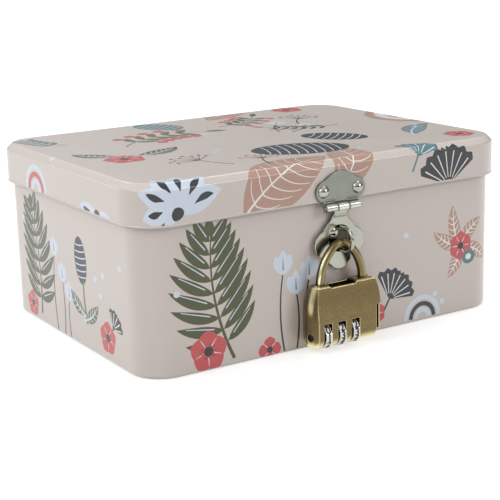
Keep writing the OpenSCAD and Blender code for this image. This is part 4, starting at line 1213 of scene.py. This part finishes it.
def shackle(p):
    x, y, z = xyz(p)
    centre = np.full(x.shape, 1e9)
    for a, b in zip(SHACKLE_PATH, SHACKLE_PATH[1:]):
        if a != b:
            centre = np.minimum(centre, bar2(x, z, a, b))
    bar = np.hypot(centre, y) - 1.7
    bar = both(bar, SHACKLE_PATH[0][1] - z, 0.4)
    round_eye = np.hypot(x - SHACKLE_X, z - SHACKLE_PATH[-1][1])
    eye = both(round_eye - 2.3, slab(y, 1.55), 0.3)
    return both(either(bar, eye, 0.3), 0.95 - round_eye)


def bar_wear(p, normals, bend):
    """Painted highlights along the bar's outer face, and dark painted reflections towards its sides.
    """
    def towards(x, y, width):
        return np.clip(normals[:, :2] @ np.array((x, y)), 0, 1) ** width
    painted_highlight = np.clip(normals @ np.array((-0.69, -0.68, 0.25)), 0, 1) ** 44
    return (4.4 * painted_highlight + 0.4 * towards(0.25, -0.97, 22)
            - 0.9 * towards(-0.98, 0.18, 8) - 0.6 * towards(0.95, -0.3, 10))


carve("shackle", shackle, (-12.2, -1.8, 18.1), (12.8, 1.8, 44.8), 0.24, BRASS, "shackle", LOCK_PLACE,
      bar_wear)


# Dials: ten flats with a number on each

def dial(p):
    x, y, z = xyz(p)
    a = np.arctan2(z, y)
    flats = 2 * math.pi / 10
    nearest = np.round(a / flats) * flats
    prism = np.hypot(y, z) * np.cos(a - nearest) - DIAL_R * math.cos(flats / 2)
    wheel = both(both(prism, np.hypot(y, z) - DIAL_R + 0.05, 0.1), slab(x, DIAL_W / 2), 0.25)
    return both(wheel, 1.25 - np.hypot(y, z))


def digit_marks(number, turn):
    """Outline faces of a number, laid on a dial's flat."""
    data = bpy.data.curves.new("digit", "FONT")
    data.body = str(number)
    data.size, data.offset, data.extrude, data.resolution_u = 4.4, 0.14, 0.05, 4
    data.align_x, data.align_y = "CENTER", "CENTER"
    ob = placed("digit", data)
    bpy.context.view_layer.update()
    me = bpy.data.meshes.new_from_object(ob.evaluated_get(bpy.context.evaluated_depsgraph_get()))
    bpy.data.objects.remove(ob)
    bpy.data.curves.remove(data)
    flat_r = DIAL_R * math.cos(math.pi / 10)
    c, s = math.cos(turn), math.sin(turn)
    verts = []
    for v in me.vertices:
        x, up, out = v.co.x, v.co.y, flat_r - 0.02 + v.co.z
        verts.append((x, -out * c + up * s, out * s + up * c))
    faces = [list(f.vertices) for f in me.polygons]
    bpy.data.meshes.remove(me)
    return verts, faces


def build_dials():
    body, quads, normals = skin(dial, (-1.6, -5.3, -5.3), (1.6, 5.3, 5.3), 0.16)
    for side, at_x, shown in zip(("left", "middle", "right"), DIAL_XS, (1, 3, 3)):
        verts, faces, index = body.tolist(), quads.tolist(), [0] * len(quads)
        lean = normals.tolist()
        for k in range(10):
            turn = math.radians(-36 * k)
            marks, mark_faces = digit_marks((shown + k) % 10, turn)
            faces += [[i + len(verts) for i in f] for f in mark_faces]
            index += [1] * len(mark_faces)
            verts += marks
            lean += [(0, -math.cos(turn), math.sin(turn))] * len(marks)
        place = np.array((LOCK_X + at_x, LOCK_Y + DIAL_Y, DIAL_Z))
        make("dial_" + side, np.array(verts) + place, faces, [DIAL, DIGIT], "dial_" + side, lean,
             index)


build_dials()


# Release button and code setting pin

def button(p):
    """A strip of the case's own form, with a stem that closes the view into the case."""
    x, y, z = xyz(p)
    form = both(case_body(p, 0.5), x - 16.9 + 0.6 * ease(z, 10, 6))
    up = z - CASE_Z0 - BUTTON_UP
    block = both(box2(x - RECESS_X - 11.3, up, 10, 5.25, 0.5), slab(y, HALF_T - 0.6), 0.5)
    stem = both(box2(x - 14.4, up, 1.6, 4.7, 0.4), slab(y, 3.4), 0.3)
    return both(form, either(block, stem, 0.2), 0.4)


def reset_pin(p):
    x, y, z = xyz(p)
    r = np.hypot(y, z)
    pin = both(r - 1.5, slab(x + 15.1, 0.8), 0.25)
    slot_cut = both(box2(y, z, 9, 0.22, 0.1), x + 15.45)
    ring = both(slab(r - 0.95, 0.12), x + 15.7)
    return both(both(pin, -slot_cut, 0.05), -ring, 0.05)


carve("release_button", button, (12.6, -5.1, 5.5), (17.0, 5.1, 16.2), 0.2, BRASS, "release",
      LOCK_PLACE, case_wear)
carve("reset_pin", reset_pin, (-16.0, -1.6, -1.6), (-14.2, 1.6, 1.6), 0.12, DARK, "reset_pin",
      (LOCK_X, LOCK_Y + DIAL_Y, DIAL_Z))


# Rear hinges

def lid_leaf(p):
    x, y, z = xyz(p)
    sheet = slab(y - PLATE_Y - PLATE_T / 2, PLATE_T / 2)
    flat = both(box2(x, z - 64.45, 8, 5.35, 2.4), sheet, 0.2)
    neck = both(box2(np.abs(x) - 5.6, z - 59.4, 2.4, 3.0, 0.2), sheet, 0.15)
    flat = np.maximum(either(flat, neck, 0.1), np.where(np.abs(x) < 3.2, 59.3 - z, -1.0))
    roll, bore = rolled(np.stack([np.abs(x), y, z], -1), 3.2, 8.0, AXIS_Y)
    body = both(either(flat, roll, 0.15), bore, 0.1)
    return both(body, 1.0 - np.hypot(np.abs(x) - HINGE_RIVET_X, z - LID_RIVET_Z))


def tub_leaf(p):
    x, y, z = xyz(p)
    flat = both(box2(x, z - 44.4, 8, 5.6, 2.4), slab(y - WALL_Y - PLATE_T / 2, PLATE_T / 2), 0.2)
    middle = WALL_Y + PLATE_T / 2 + (PLATE_Y - WALL_Y) * ease(z, 52.5, 55.2)
    neck = both(box2(x, z - 52, 3, 6.5, 0.2), slab(y - middle, PLATE_T / 2), 0.2)
    neck = np.maximum(neck, z - AXIS_Z)
    roll, bore = rolled(p, -3.0, 3.0, AXIS_Y)
    body = both(either(either(flat, neck, 0.4), roll, 0.15), bore, 0.1)
    return both(body, 1.0 - np.hypot(np.abs(x) - HINGE_RIVET_X, z - TUB_RIVET_Z))


for side, word in ((-1, "left"), (1, "right")):
    for kind, body, form, lo, hi in (
            ("lid", "lid", lid_leaf, (-8.1, 67.9, 55.6), (8.1, 71.3, 69.9)),
            ("tub", "box", tub_leaf, (-8.1, 65.3, 38.7), (8.1, 71.3, 59.0))):
        carve("hinge_%s_leaf_%s" % (kind, word), form, lo, hi, 0.22, NICKEL, body,
              (side * HINGE_X, 0, 0))

HINGE_SPOTS = [(side * HINGE_X + x, 0, 0) for side in (-1, 1)
               for x in (-HINGE_RIVET_X, HINGE_RIVET_X)]
for kind, body, tail, y, z in (("lid", "lid", 1.45, PLATE_Y, LID_RIVET_Z),
                               ("tub", "box", 1.2, WALL_Y, TUB_RIVET_Z)):
    turned("hinge_%s_rivets" % kind, dome_profile(4, 1.1, 1.0, tail, 0.5), (0, y + PLATE_T, z),
           (0, 1, 0), NICKEL, body, HINGE_SPOTS)

# Carried-over solids
FINISHES = {
    BARE: ("base_panel", "staple_backing"),
    STEEL: ("hinge_pin_left", "hinge_pin_right", "dial_spindle", "spindle_spring", "detent_spring",
            "release_spring", "latch_plate"),
    BRASS: ("case_rivets", "shackle_pivot_pin"),
}
for mat, names in FINISHES.items():
    for name in names:
        nodes[name].data.materials.clear()
        nodes[name].data.materials.append(mat)


# Floor, world and lamps
FLOOR_COLOUR = (0.62, 0.62, 0.62, 1)
FLOOR_GLOW = 0.55


def build_stage():
    """Matte floor that the camera and reflections see as paler than it lights the part."""
    me = bpy.data.meshes.new("floor")
    r = 40.0
    me.from_pydata([(-r, -r, 0), (r, -r, 0), (r, r, 0), (-r, r, 0)], [], [(0, 1, 2, 3)])
    floor = placed("floor", me)
    mat = bpy.data.materials.new("floor_white")
    mat.use_nodes = True
    tree = mat.node_tree
    tree.nodes.clear()

    def maths(operation, a, b):
        return add_node(tree, "Math", {0: a, 1: b}, operation=operation).outputs[0]

    rays = add_node(tree, "LightPath").outputs
    mirrored = maths("MAXIMUM", rays["Is Glossy Ray"], rays["Is Transmission Ray"])
    seen = maths("MAXIMUM", rays["Is Camera Ray"], mirrored)
    glow = add_node(tree, "Emission", {"Strength": maths("MULTIPLY", seen, FLOOR_GLOW)})
    matte = add_node(tree, "BsdfDiffuse", {"Color": FLOOR_COLOUR})
    total = add_node(tree, "AddShader", {0: matte.outputs[0], 1: glow.outputs[0]})
    add_node(tree, "OutputMaterial", {"Surface": total.outputs[0]})
    me.materials.append(mat)


def lamp(name, direction, strength, angle):
    data = bpy.data.lights.new(name, "SUN")
    data.energy, data.angle = strength, math.radians(angle)
    placed(name, data).rotation_euler = Vector(direction).to_track_quat("Z", "Y").to_euler()


def build_world():
    """Soft studio: a bright ceiling over darker walls, with a lighter wall behind on the left."""
    world = bpy.data.worlds.new("studio")
    world.use_nodes = True
    tree = world.node_tree

    def ramp(value, low, high, to_low, to_high):
        return add_node(tree, "MapRange", {
            "Value": value, "From Min": low, "From Max": high, "To Min": to_low,
            "To Max": to_high}, interpolation_type="SMOOTHSTEP").outputs["Result"]

    around = add_node(tree, "TexCoord").outputs["Generated"]
    height = add_node(tree, "SeparateXYZ", {0: around}).outputs["Z"]
    toward = add_node(tree, "VectorMath", {0: around, 1: (-0.848, 0.53, 0)},
                      operation="DOT_PRODUCT").outputs["Value"]
    total = add_node(tree, "Math", {0: ramp(height, 0.15, 0.8, 0.2, 0.74),
                                    1: ramp(toward, -0.08, 0.3, 0, 0.32)})
    tree.links.new(total.outputs[0], tree.nodes["Background"].inputs["Strength"])
    tree.nodes["Background"].inputs["Color"].default_value = (1, 1, 1, 1)
    bpy.context.scene.world = world


build_stage()
build_world()
for lamp_facts in (("key", (-0.85, 0.0, 0.53), 0.7, 34),
                   ("fill", (0.5, -0.77, 0.42), 0.7, 24),
                   ("overhead", (0.42, 0.15, 0.86), 0.3, 18),
                   ("strip_back", (0.515, 0.39, 0.76), 0.1, 12),
                   ("strip_left", (0.18, 0.82, 0.54), 0.1, 12),
                   ("strip_low", (-0.544, 0.82, 0.178), 0.2, 20)):
    lamp(*lamp_facts)

bpy.context.scene.view_settings.view_transform = "Standard"
